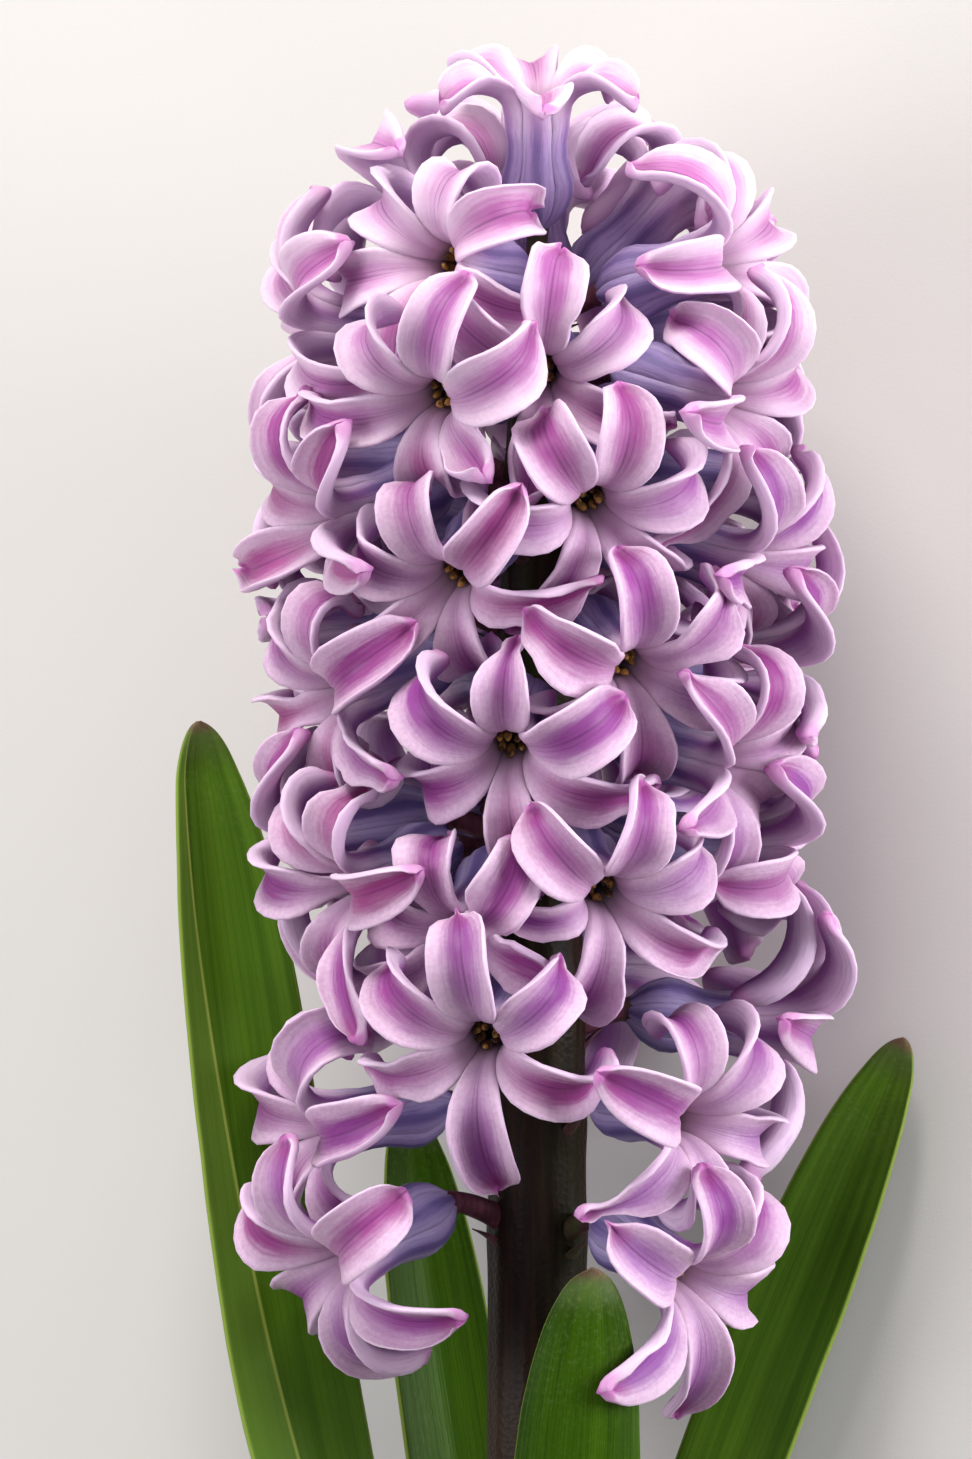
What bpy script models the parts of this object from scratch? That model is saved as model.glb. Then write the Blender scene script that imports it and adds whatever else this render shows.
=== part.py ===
"""A hyacinth as picked, lying down: the flower stalk with its florets, and four leaves that clasp its foot.

The plant is worked out standing up, in millimetres and degrees: z runs up the stalk from its cut end, x to
the right, and the front faces -y. Angles round the stalk are 0 in front and 90 on the right. An empty lays
the finished plant down.
"""

import itertools
import math
import random
from types import SimpleNamespace

import bpy
import numpy as np
from mathutils import Matrix, Vector
from mathutils.bvhtree import BVHTree

METRES_PER_MM = 0.001

# How the plant lies, on three low points: turned about its own stalk, laid on its back, then moved
LIE_ROLL = 14.81
LIE_PITCH = -80.37
LIE_MOVE = (1.07, -132.89, 7.88)

# Stalk: height and radius
SCAPE_PROFILE = ((0, 6.3), (40, 6.4), (90, 6.3), (140, 6.0), (190, 5.0), (222, 3.8), (240, 2.4))
SCAPE_SIDES = 12

# Short stalks of the florets: each starts inside the scape, rises, and ends just short of its floret
PEDICEL_RADII = (1.755, 1.35, 1.35)
PEDICEL_SIDES = 5
PEDICEL_RISE = 3.0
PEDICEL_HIGHEST = 238.0
PEDICEL_ROOT = 0.55
SEAT_GAP = 0.3

# Floret tube: distance along it and radius, from the short stalk to the mouth
TUBE_PROFILE = ((0.0, 1.5), (1.8, 3.6), (4.8, 4.8), (9.8, 3.7), (14.5, 3.9))
TUBE_LENGTH = TUBE_PROFILE[-1][0]
MOUTH_RADIUS = TUBE_PROFILE[-1][1]
MOUTH_LIP = 1.3
THROAT_RADIUS = 1.9
THROAT_DEPTH = 5.5

# Tepal, from the mouth to its hooded tip
TEPALS = 6
TEPAL_LENGTH = 20.5
TEPAL_BASE_HALF = 2.0
TEPAL_HALF = 5.2
TEPAL_WIDEST = 0.5
TEPAL_SECTOR = math.tan(math.radians(28))
TEPAL_THICK = 1.1
# Radius of its channel where it is spread like a boat, and where it rolls back and so flattens
BOAT_CHANNEL = ((0.0, 3.9), (0.45, 4.9), (0.75, 4.4), (1.0, 2.2))
ROLLED_CHANNEL = ((0.0, 3.9), (0.45, 6.6), (0.75, 8.0), (1.0, 4.0))
ROLLED_RECURVE = (40.0, 120.0)
# Its bends, in degrees, and the parts of its length over which they come: out, then back, then in at the tip
TEPAL_START_ANGLE = 12.0
TEPAL_FLARE = 80.0
FLARE_SPAN = (0.0, 0.42)
TEPAL_RECURVE = 95.0
UPPER_RECURVE = 35.0
RECURVE_SPAN = (0.3, 0.95)
TEPAL_HOOK = 40.0
HOOK_SPAN = (0.85, 1.0)
# Side petals sweep upwards
UPWARD_SWING = 11.0
TEPAL_ROWS = (0.0, 0.2, 0.42, 0.64, 0.85)
# The youngest floret, on top of the spike, has short tepals that open less
YOUNG_HEIGHT = 258.0
YOUNG_REACH = 0.6
YOUNG_OPENING = 0.78
SPINE_STEPS = np.linspace(0.0, 1.0, 41)
WISH_SEED = 3

# Room between florets: the cone kept free before a mouth, and the least distance between two blades
MOUTH_GUARD = (20.5, 7.2)
CLEARANCE = 0.4
SIBLING_CLEARANCE = 0.13

# Poses tried for a tepal that has no room: changes drawn up to these limits, then bent shut and shorter
CHOICES = 220
CHOICE_SEED = 3
FLARE_CHANGE = (-70, 30)
RECURVE_CHANGE = (-90, 70)
SWING_CHANGE = 34
SWING_SHUT_ANGLE = 80.0
LENGTH_CHANGE = 0.5
CLOSED_FLARE = 0.0
CLOSED_RECURVE = 8.0
CLOSED_LENGTHS = (0.46, 0.36, 0.27, 0.18)

# Leaves: name, angle round the stalk, length, lean at the foot and at the tip, drift, twist, half width
LEAVES = (
    ("leaf_front", 7, 119, 13, 14, 3, 0, 8.6),
    ("leaf_right", 97, 150, 11, 23, 10, 62, 7.4),
    ("leaf_back", 187, 136, 9, 10, 14, 10, 7.2),
    ("leaf_left", 277, 187, 17.5, 7, -14, -74, 8.8),
)
LEAF_FOOT_HEIGHT = 3.0
LEAF_FOOT_GAP = 0.6
LEAF_FOOT_HALF_ANGLE = 41.0
LEAF_SHEATH = 0.03
LEAF_ROWS = 11
LEAF_SIDES = np.array((-1.0, -0.5, 0.0, 0.5, 1.0))
# Radius of the channel: at the foot the leaf hugs the stalk, then it opens out and closes again at the tip
LEAF_FOOT_CHANNEL = 0.4
LEAF_CHANNEL = ((0.5, 15.0), (0.85, 10.0), (1.0, 5.0))
# Thickness, and the parts of it that are lost by the tip and by the margins
LEAF_THICK = 2.0
LEAF_THIN_TIP = 0.35
LEAF_THIN_MARGIN = 0.4
LEAF_TIP_BACK = 0.4

# Florets in front: height of the mouth, angle round the stalk, upward tilt, distance out, angle of one tepal
FRONT_FLORETS = (
    (262, 0, 74, 6, 30),
    (243, -36, 5, 19, 22),
    (243, 66, 14, 23, 20),
    (250, 112, 45, 16, 0),
    (251, -112, 48, 16, 10),
    (251, 180, 50, 15, 30),
    (147, -14, -20, 27, 26),
    (120, -60, -25, 26, 22),
    (229, 1, -17, 21, 27),
    (213, 15, -25, 25, 12),
    (183, -8, -28, 25, 30),
    (193, 25, -25, 26, 40),
    (204, -24, -28, 25, 40),
    (226, -27, -20, 27, 10),
    (165, 18, -24, 26, 23),
    (137, 42, -10, 26, 45),
    (118, 46, -25, 24, 47),
    (161, -23, -32, 22, 35),
    (181, 57, -12, 26, 27),
    (226, 58, -15, 26, 20),
    (206, 66, -18, 26, 5),
    (166, -57, -18, 26, 0),
    (190, -62, -18, 26, 15),
    (136, -72, -10, 26, 50),
    (170, 86, 0, 27, 25),
    (212, -62, -18, 26, 35),
    (235, -86, 5, 25, 20),
    (238, 105, 15, 24, 50),
    (199, -98, -5, 26, 5),
    (193, 93, -5, 26, 30),
    (216, 98, -5, 26, 55),
    (172, -92, -8, 26, 30),
    (148, 98, -8, 26, 10),
    (219, -102, 0, 25, 50),
)

# Florets at the back, by rule: rows up the stalk, every other row set half a place round
BACK_LOWEST = 156.0
BACK_ROW_STEP = 18.0
BACK_ROWS = 5
BACK_PLACES = ((-0.5, 0.5), (-1, 0, 1))
BACK_SPACING = 38.0
BACK_DISTANCE = 25.0
BACK_SEED = 7

COLOURS = {"scape": (0.055, 0.035, 0.02), "leaf": (0.05, 0.16, 0.02), "floret": (0.55, 0.25, 0.55)}
ROUGHNESS = {"scape": 0.6, "leaf": 0.4, "floret": 0.55}


def ease(start, end, value):
    """0 before start, 1 after end, and a smooth rise between them."""
    part = np.clip((np.asarray(value, float) - start) / (end - start), 0.0, 1.0)
    return part * part * (3.0 - 2.0 * part)


def table(pairs, value):
    return np.interp(value, [pair[0] for pair in pairs], [pair[1] for pair in pairs])


def travelled(slope, step):
    """How far a line has gone at each of its points, from its slope there and the length of its steps."""
    middles = (slope[1:] + slope[:-1]) / 2.0
    return step * np.concatenate(([0.0], np.cumsum(middles)))


def outward(angle):
    """The level direction away from the stalk at an angle round it."""
    turn = math.radians(angle)
    return np.array((math.sin(turn), -math.cos(turn), 0.0))


# Blades: a tepal and a leaf are both a channelled strip with thin margins


def section(centre, across, normal, half, channel, sides):
    """One row of points over a channelled strip, at the given sides from -1 to 1, its margins."""
    turn = sides * half / channel
    rise = channel * (1.0 - np.cos(turn))
    return centre + np.outer(channel * np.sin(turn), across) + np.outer(rise, normal)


def blade(inner, outer, tip, mesh):
    """Adds a blade's faces to mesh: rows of points on both faces, which share their margins, and one tip."""
    inner_rows = []
    outer_rows = []
    for inside, outside in zip(inner, outer):
        numbers = [mesh.point(p) for p in inside]
        inner_rows.append(numbers)
        outer_rows.append([numbers[0]] + [mesh.point(p) for p in outside] + [numbers[-1]])
    for rows, flip in ((inner_rows, False), (outer_rows, True)):
        for low, high in itertools.pairwise(rows):
            strip(mesh, low, high, flip)
    end = mesh.point(tip)
    for rows, flip in ((inner_rows, False), (outer_rows, True)):
        for a, b in itertools.pairwise(rows[-1]):
            mesh.face((a, end, b), flip)
    return inner_rows[0], outer_rows[0]


def strip(mesh, low, high, flip):
    """Triangles between two rows, split so that each diagonal starts at the middle of the upper row."""
    middle = (len(low) - 1) / 2
    for k in range(len(low) - 1):
        if k < middle:
            mesh.face((low[k], high[k], high[k + 1]), flip)
            mesh.face((low[k], high[k + 1], low[k + 1]), flip)
        else:
            mesh.face((low[k], high[k], low[k + 1]), flip)
            mesh.face((low[k + 1], high[k], high[k + 1]), flip)


class Mesh:
    """Points and triangles, gathered in millimetres."""

    def __init__(self):
        self.points = []
        self.faces = []

    def point(self, place):
        self.points.append(np.asarray(place, float))
        return len(self.points) - 1

    def ring(self, radius, height, count, turn=0.0):
        angles = np.radians(turn) + np.arange(count) * math.tau / count
        return [self.point((radius * math.cos(a), radius * math.sin(a), height)) for a in angles]

    def face(self, corners, flip=False):
        self.faces.append(tuple(reversed(corners)) if flip else tuple(corners))

    def fan(self, ring, flip=False):
        """Closes a ring with a flat cap."""
        for a, b in itertools.pairwise(ring[1:]):
            self.face((ring[0], a, b), flip)

    def wall(self, low, high, flip=False):
        """Triangles between two rings, where the upper one has as many points or twice as many."""
        many = len(high)
        step = many // len(low)
        for k in range(many):
            a = low[k // step]
            b = low[((k + 1) // step) % len(low)]
            self.face((a, high[(k + 1) % many], high[k]), flip)
            if b != a:
                self.face((a, b, high[(k + 1) % many]), flip)


# Tepals


def tepal_frames(tepal, stations):
    """Centre line, direction across and inner normal of a tepal, in the frame of its floret."""
    turn = np.radians(
        TEPAL_START_ANGLE
        + tepal.flare * ease(*FLARE_SPAN, SPINE_STEPS)
        + tepal.recurve * ease(*RECURVE_SPAN, SPINE_STEPS)
        - TEPAL_HOOK * ease(*HOOK_SPAN, SPINE_STEPS)
    )
    step = tepal.length / (len(SPINE_STEPS) - 1)
    out = MOUTH_RADIUS - MOUTH_LIP / 2 + travelled(np.sin(turn), step)
    up = TUBE_LENGTH + travelled(np.cos(turn), step)
    stations = np.asarray(stations)
    turn, out, up = (np.interp(stations, SPINE_STEPS, values) for values in (turn, out, up))
    swing = math.tan(math.radians(tepal.swing))
    drift = swing * tepal.length * stations**2
    radial = np.array((math.cos(tepal.angle), math.sin(tepal.angle), 0.0))
    sideways = np.array((-math.sin(tepal.angle), math.cos(tepal.angle), 0.0))
    axis = np.array((0.0, 0.0, 1.0))
    centre = np.outer(out, radial) + np.outer(drift, sideways) + np.outer(up, axis)
    along = np.outer(np.sin(turn), radial) + np.outer(np.cos(turn), axis)
    normal = -np.outer(np.cos(turn), radial) + np.outer(np.sin(turn), axis)
    bend = np.arctan(2.0 * swing * stations)[:, None]
    across = np.cos(bend) * sideways - np.sin(bend) * along
    return centre, *twisted(across, normal, tepal.twist * ease(0.1, 0.9, stations))


def twisted(across, normal, angles):
    """Both directions turned about the centre line, by one angle a row."""
    turn = np.radians(angles)[:, None]
    return np.cos(turn) * across + np.sin(turn) * normal, np.cos(turn) * normal - np.sin(turn) * across


def tepal_half_width(station):
    grow = TEPAL_BASE_HALF + (TEPAL_HALF - TEPAL_BASE_HALF) * ease(0.0, TEPAL_WIDEST, station)
    past = np.clip((station - TEPAL_WIDEST) / (1.0 - TEPAL_WIDEST), 0.0, 1.0)
    return grow * (1.0 - past**2.0) ** 0.7


def tepal_points(tepal, clearance=0.0):
    """Margin, inner, margin and outer point of each row of a tepal, then its tip. Clearance swells it."""
    stations = np.array(TEPAL_ROWS)
    centre, across, normal = tepal_frames(tepal, TEPAL_ROWS + (1.0,))
    tip = centre[-1]
    centre, across, normal = centre[:-1], across[:-1], normal[:-1]
    rolled = np.clip(np.interp(tepal.recurve, ROLLED_RECURVE, (0.0, 1.0)), 0.0, 1.0)
    channel = (1.0 - rolled) * table(BOAT_CHANNEL, stations) + rolled * table(ROLLED_CHANNEL, stations)
    room = TEPAL_SECTOR * np.hypot(centre[:, 0], centre[:, 1])
    turn = (np.minimum(tepal_half_width(stations), room) + clearance) / channel
    side = (channel * np.sin(turn))[:, None] * across
    rise = (channel * (1.0 - np.cos(turn)))[:, None] * normal
    half_thick = TEPAL_THICK / 2 + clearance
    inner = centre + half_thick * normal
    outer = centre - half_thick * normal
    rows = np.stack((centre - side + rise, inner, centre + side + rise, outer), axis=1)
    return np.vstack((rows.reshape(-1, 3), tip))


def tepal_faces(rows):
    """Triangles over the points that tepal_points gives, split alike on both faces."""
    mesh = Mesh()
    tip = 4 * rows
    for start in range(0, tip - 4, 4):
        for flip, middle in ((False, start + 1), (True, start + 3)):
            low = (start, middle, start + 2)
            strip(mesh, low, tuple(number + 4 for number in low), flip)
    for flip, middle in ((False, tip - 3), (True, tip - 1)):
        mesh.face((tip - 4, tip, middle), flip)
        mesh.face((middle, tip, tip - 2), flip)
    return mesh.faces


# Florets


def floret_frame(floret):
    """Where a floret sits on the plant: its z runs from the short stalk out through the mouth."""
    radial = outward(floret.angle)
    tilt = math.radians(floret.tilt)
    forward = math.cos(tilt) * radial + np.array((0.0, 0.0, math.sin(tilt)))
    up = -math.sin(tilt) * radial + np.array((0.0, 0.0, math.cos(tilt)))
    right = np.cross(up, forward)
    mouth = floret.distance * radial + np.array((0.0, 0.0, floret.height))
    base = mouth - TUBE_LENGTH * forward
    frame = Matrix.Identity(4)
    for column, axis in enumerate((right, up, forward, base)):
        for row in range(3):
            frame[row][column] = axis[row]
    return frame


def placed(points, frame):
    matrix = np.array(frame)
    return np.asarray(points) @ matrix[:3, :3].T + matrix[:3, 3]


def all_florets():
    """Every floret of the spike, the ones that show most first."""
    florets = [
        SimpleNamespace(height=height, angle=angle, tilt=tilt, distance=distance, roll=roll)
        for height, angle, tilt, distance, roll in FRONT_FLORETS
    ]
    draw = random.Random(BACK_SEED)
    for row in range(BACK_ROWS):
        for place in BACK_PLACES[row % 2]:
            florets.append(
                SimpleNamespace(
                    height=BACK_LOWEST + BACK_ROW_STEP * row + draw.uniform(-1.5, 1.5),
                    angle=180 + BACK_SPACING * place + draw.uniform(-2, 2),
                    tilt=draw.uniform(-12, 2),
                    distance=BACK_DISTANCE + draw.uniform(-1, 1),
                    roll=draw.uniform(0, 60),
                )
            )
    for floret in florets:
        floret.frame = floret_frame(floret)
    return florets


def guard_mesh():
    """A tube and the room in front of its mouth, which the tepals of other florets must miss."""
    mesh = Mesh()
    rings = []
    for along, radius in TUBE_PROFILE + (MOUTH_GUARD,):
        rings.append(mesh.ring(radius + CLEARANCE / 2, along, 2 * TEPALS))
    mesh.fan(rings[0], flip=True)
    for low, high in itertools.pairwise(rings):
        mesh.wall(low, high)
    mesh.fan(rings[-1])
    return mesh


TEPAL_FACES = tepal_faces(len(TEPAL_ROWS))
UPPER_FACES = tepal_faces(len(TEPAL_ROWS) - 1)


class Obstacles:
    """Surfaces already on the plant, kept with their boxes, to tell whether a new one would cross them."""

    def __init__(self):
        self.trees = []
        self.owners = []
        self.lows = np.empty((0, 3))
        self.highs = np.empty((0, 3))

    def add(self, points, faces, owner):
        self.trees.append(BVHTree.FromPolygons(points.tolist(), faces))
        self.owners.append(owner)
        self.lows = np.vstack((self.lows, points.min(axis=0)))
        self.highs = np.vstack((self.highs, points.max(axis=0)))

    def crossed(self, points, faces, skip=None):
        below = (self.lows <= points.max(axis=0)).all(axis=1)
        above = (self.highs >= points.min(axis=0)).all(axis=1)
        found = [k for k in np.flatnonzero(below & above) if self.owners[k] != skip]
        if not found:
            return False
        tree = BVHTree.FromPolygons(points.tolist(), faces)
        return any(tree.overlap(self.trees[k]) for k in found)


def tepal_choices():
    """Changes to a tepal's pose, from none to large ones that also shorten it, then nearly closed ones."""
    draw = random.Random(CHOICE_SEED)
    choices = [(1.0, 0.0, 0.0, 0.0, 1.0)]
    for k in range(1, CHOICES):
        part = k / CHOICES
        reach = part**0.5
        flare = draw.uniform(*FLARE_CHANGE) * reach
        recurve = draw.uniform(*RECURVE_CHANGE) * reach
        open_part = 1.0 + min(flare, 0.0) / SWING_SHUT_ANGLE
        swing = draw.uniform(-SWING_CHANGE, SWING_CHANGE) * reach * open_part
        choices.append((1.0, flare, recurve, swing, 1.0 - LENGTH_CHANGE * part**2))
    return choices + [(0.0, CLOSED_FLARE, CLOSED_RECURVE, 0.0, length) for length in CLOSED_LENGTHS]


def grow_tepals(florets, obstacles):
    """Opens each tepal as far as its neighbours let it."""
    choices = tepal_choices()
    draw = random.Random(WISH_SEED)
    for number, floret in enumerate(florets):
        wishes = [wished_tepal(floret, k, draw) for k in range(TEPALS)]
        for first in range(TEPALS):
            floret.tepals = open_floret(floret, number, wishes, first, choices, obstacles)
            if floret.tepals:
                break
        for tepal in floret.tepals:
            obstacles.add(placed(tepal_points(tepal), floret.frame), TEPAL_FACES, number)


def wished_tepal(floret, place, draw):
    """How a tepal would open with nothing in its way. The upper ones of a floret roll back the most."""
    angle = math.radians(floret.roll + 360 / TEPALS * place)
    reach, opening = (YOUNG_REACH, YOUNG_OPENING) if floret.height > YOUNG_HEIGHT else (1.0, 1.0)
    return SimpleNamespace(
        flare=TEPAL_FLARE * opening + draw.uniform(-10, 10),
        recurve=(TEPAL_RECURVE + UPPER_RECURVE * math.sin(angle)) * opening + draw.uniform(-25, 25),
        swing=UPWARD_SWING * math.cos(angle) + draw.uniform(-6, 6),
        twist=draw.uniform(-14, 14),
        length=TEPAL_LENGTH * reach * draw.uniform(0.87, 1.1),
        angle=angle,
    )


def open_floret(floret, number, wishes, first, choices, obstacles):
    """The tepals of one floret, placed in turn from the first one named, or none where one finds no room."""
    tepals = {}
    siblings = Obstacles()
    for place in range(first, first + TEPALS):
        for choice in choices:
            tepal = posed(wishes[place % TEPALS], choice)
            swollen = placed(tepal_points(tepal, CLEARANCE), floret.frame)
            if obstacles.crossed(swollen, TEPAL_FACES, number):
                continue
            if not siblings.crossed(tepal_points(tepal, SIBLING_CLEARANCE)[4:], UPPER_FACES):
                break
        else:
            return []
        tepals[place % TEPALS] = tepal
        siblings.add(tepal_points(tepal)[4:], UPPER_FACES, "sibling")
    return [tepals[place] for place in range(TEPALS)]


def posed(wish, choice):
    keep, flare, recurve, swing, length = choice
    return SimpleNamespace(
        flare=keep * wish.flare + flare,
        recurve=keep * wish.recurve + recurve,
        swing=keep * wish.swing + swing,
        twist=keep * wish.twist,
        length=wish.length * length,
        angle=wish.angle,
    )


def floret_mesh(floret):
    """A hollow-throated tube that opens into its tepals, as one closed surface."""
    mesh = Mesh()
    turn = floret.roll - 30
    rings = []
    for along, radius in TUBE_PROFILE[:-1]:
        count = TEPALS if along < TUBE_PROFILE[2][0] else 2 * TEPALS
        rings.append(mesh.ring(radius, along, count, turn))
    mesh.fan(rings[0], flip=True)
    for low, high in itertools.pairwise(rings):
        mesh.wall(low, high)
    mouth = mesh.ring(MOUTH_RADIUS, TUBE_LENGTH, 2 * TEPALS, turn)
    mesh.wall(rings[-1], mouth)
    lip = [mesh.point(p) for p in lip_points(floret)]
    inside = [mouth[k] if k % 2 == 0 else lip[k // 2] for k in range(2 * TEPALS)]
    throat = mesh.ring(THROAT_RADIUS, TUBE_LENGTH - THROAT_DEPTH, TEPALS, turn)
    mesh.wall(throat, inside, flip=True)
    mesh.fan(throat)
    for k, tepal in enumerate(floret.tepals):
        first = [mouth[2 * k], lip[k], mouth[(2 * k + 2) % (2 * TEPALS)], mouth[2 * k + 1]]
        numbers = first + [mesh.point(p) for p in tepal_points(tepal)[4:]]
        for face in TEPAL_FACES:
            mesh.face([numbers[corner] for corner in face])
    return mesh


def lip_points(floret):
    radius = MOUTH_RADIUS - MOUTH_LIP
    for tepal in floret.tepals:
        yield (radius * math.cos(tepal.angle), radius * math.sin(tepal.angle), TUBE_LENGTH)


# Leaves


def leaf_frames(leaf, stations):
    """Centre line, direction across and inner normal of a leaf, whose inner face turns to the stalk."""
    fine = np.linspace(0.0, 1.0, 101)
    steady = leaf.lean_foot * ease(LEAF_SHEATH, 0.16, fine)
    lean = np.radians(steady + (leaf.lean_tip - leaf.lean_foot) * ease(0.25, 0.75, fine))
    step = leaf.length / (len(fine) - 1)
    out = leaf.foot_radius + travelled(np.sin(lean), step)
    up = LEAF_FOOT_HEIGHT + travelled(np.cos(lean), step)
    lean, out, up = (np.interp(stations, fine, values) for values in (lean, out, up))
    radial = outward(leaf.angle)
    axis = np.array((0.0, 0.0, 1.0))
    sideways = np.cross(axis, radial)
    drift = leaf.drift * ease(0.05, 1.2, stations)
    centre = np.outer(out, radial) + np.outer(drift, sideways) + np.outer(up, axis)
    normal = -np.outer(np.cos(lean), radial) + np.outer(np.sin(lean), axis)
    across = np.tile(sideways, (len(stations), 1))
    return centre, *twisted(across, normal, leaf.twist * ease(0.1, 0.6, stations))


def leaf_half_width(leaf, station):
    foot = leaf.foot_radius * math.radians(LEAF_FOOT_HALF_ANGLE)
    grow = foot + (leaf.half - foot) * ease(0.05, 0.45, station)
    past = np.clip((station - 0.7) / 0.3, 0.0, 1.0)
    return grow * (1.0 - past**2.6) ** 0.55


def leaf_channel(leaf, station):
    foot = ((0.0, leaf.foot_radius), (0.08, leaf.foot_radius + LEAF_FOOT_CHANNEL))
    return table(foot + LEAF_CHANNEL, station)


def leaf_mesh(leaf):
    stations = 1.0 - (1.0 - np.linspace(0.0, 1.0, LEAF_ROWS + 1)) ** 1.3
    centre, across, normal = leaf_frames(leaf, stations)
    inner = []
    outer = []
    for k, station in enumerate(stations[:-1]):
        half = leaf_half_width(leaf, station)
        channel = leaf_channel(leaf, station)
        row = section(centre[k], across[k], normal[k], half, channel, LEAF_SIDES)
        between = LEAF_SIDES[1:-1]
        turns = between * half / channel
        facing = np.outer(np.cos(turns), normal[k]) - np.outer(np.sin(turns), across[k])
        thick = LEAF_THICK * (1.0 - LEAF_THIN_TIP * station) * (1.0 - LEAF_THIN_MARGIN * np.abs(between))
        inner.append(row)
        outer.append(row[1:-1] - thick[:, None] * facing)
    tip = centre[-1] - LEAF_TIP_BACK * normal[-1]
    mesh = Mesh()
    first, second = blade(inner, outer, tip, mesh)
    mesh.fan(first + second[-2:0:-1])
    return mesh


def all_leaves():
    keys = ("name", "angle", "length", "lean_foot", "lean_tip", "drift", "twist", "half")
    leaves = [SimpleNamespace(**dict(zip(keys, values))) for values in LEAVES]
    for leaf in leaves:
        leaf.foot_radius = table(SCAPE_PROFILE, LEAF_FOOT_HEIGHT) + LEAF_FOOT_GAP
    return leaves


# Stalk


def scape_mesh():
    mesh = Mesh()
    rings = [mesh.ring(radius, height, SCAPE_SIDES) for height, radius in SCAPE_PROFILE]
    mesh.fan(rings[0], flip=True)
    for low, high in itertools.pairwise(rings):
        mesh.wall(low, high)
    mesh.fan(rings[-1])
    return mesh


def pedicel_mesh(floret):
    """The short stalk of one floret: out of the scape, rising, then out to the floret's base."""
    frame = floret.frame
    forward = np.array(frame.col[2][:3])
    seat = np.array(frame.translation) - SEAT_GAP * forward
    height = min(seat[2] - PEDICEL_RISE, PEDICEL_HIGHEST)
    reach = PEDICEL_ROOT * table(SCAPE_PROFILE, height)
    root = reach * outward(floret.angle) + np.array((0.0, 0.0, height))
    middle = (root + seat) / 2 + np.array((0.0, 0.0, PEDICEL_RISE / 4)) - forward
    mesh = Mesh()
    rings = []
    directions = (seat - root, seat - root, forward)
    for place, direction, radius in zip((root, middle, seat), directions, PEDICEL_RADII):
        turn = Vector(direction).to_track_quat("Z", "Y").to_matrix()
        ring = []
        for k in range(PEDICEL_SIDES):
            angle = math.tau * k / PEDICEL_SIDES
            spoke = Vector((math.cos(angle), math.sin(angle), 0.0)) * radius
            ring.append(mesh.point(place + np.array(turn @ spoke)))
        rings.append(ring)
    mesh.fan(rings[0], flip=True)
    for low, high in itertools.pairwise(rings):
        mesh.wall(low, high)
    mesh.fan(rings[-1])
    return mesh


# Blender objects


def material(kind):
    made = bpy.data.materials.new(kind)
    made.use_nodes = True
    shader = made.node_tree.nodes["Principled BSDF"]
    shader.inputs["Base Color"].default_value = (*COLOURS[kind], 1.0)
    shader.inputs["Roughness"].default_value = ROUGHNESS[kind]
    return made


def blender_object(name, mesh, finish, parent=None, frame=None):
    points = [tuple(p * METRES_PER_MM) for p in mesh.points]
    data = bpy.data.meshes.new(name)
    data.from_pydata(points, [], mesh.faces)
    data.materials.append(finish)
    made = bpy.data.objects.new(name, data)
    bpy.context.scene.collection.objects.link(made)
    made.parent = parent
    if frame:
        place = frame.copy()
        place.translation = frame.translation * METRES_PER_MM
        made.matrix_local = place
    return made


def join_pedicels(scape, florets, finish):
    """One Boolean union grows every short stalk out of the scape."""
    group = bpy.data.collections.new("pedicels")
    bpy.context.scene.collection.children.link(group)
    for number, floret in enumerate(florets):
        stalk = blender_object(f"pedicel_{number}", pedicel_mesh(floret), finish)
        bpy.context.scene.collection.objects.unlink(stalk)
        group.objects.link(stalk)
    union = scape.modifiers.new("pedicels", "BOOLEAN")
    union.operand_type = "COLLECTION"
    union.collection = group
    union.operation = "UNION"
    union.solver = "EXACT"
    bpy.context.view_layer.objects.active = scape
    bpy.ops.object.modifier_apply(modifier=union.name)
    for stalk in list(group.objects):
        bpy.data.objects.remove(stalk)
    bpy.data.collections.remove(group)


def main():
    for old in list(bpy.data.objects):
        bpy.data.objects.remove(old)
    finishes = {kind: material(kind) for kind in COLOURS}
    plant = bpy.data.objects.new("plant", None)
    bpy.context.scene.collection.objects.link(plant)
    leaves = all_leaves()
    florets = all_florets()
    obstacles = Obstacles()
    stem = scape_mesh()
    obstacles.add(np.array(stem.points), stem.faces, "scape")
    for leaf in leaves:
        leaf.mesh = leaf_mesh(leaf)
        obstacles.add(np.array(leaf.mesh.points), leaf.mesh.faces, leaf.name)
    guard = guard_mesh()
    for number, floret in enumerate(florets):
        obstacles.add(placed(guard.points, floret.frame), guard.faces, number)
    grow_tepals(florets, obstacles)
    scape = blender_object("scape", stem, finishes["scape"])
    join_pedicels(scape, florets, finishes["scape"])
    scape.parent = plant
    for leaf in leaves:
        blender_object(leaf.name, leaf.mesh, finishes["leaf"], plant)
    for number, floret in enumerate(florets):
        name = f"floret_{number + 1:02d}"
        blender_object(name, floret_mesh(floret), finishes["floret"], plant, floret.frame)
    lie = Matrix.Rotation(math.radians(LIE_PITCH), 4, "X") @ Matrix.Rotation(math.radians(LIE_ROLL), 4, "Z")
    plant.matrix_world = Matrix.Translation(Vector(LIE_MOVE) * METRES_PER_MM) @ lie


main()
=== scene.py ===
# %% [markdown]
# # A hyacinth, picked and laid down
#
# This scene dresses the solid model of one hyacinth stem. The real thing is a thick dark stalk that carries
# a dense spike of small flowers, called florets, with four strap leaves that clasp its foot. Each floret is
# a short tube that opens into six petals, which botanists call tepals, and these curl back like the horns
# of a goat.
#
# The solid model has the right places and poses, but few faces. Here every leaf and floret is grown again
# with fine faces, on the same centre lines, and gets its colours, veins and stamens.

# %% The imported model
import math
import random
from functools import partial
from types import SimpleNamespace

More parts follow.
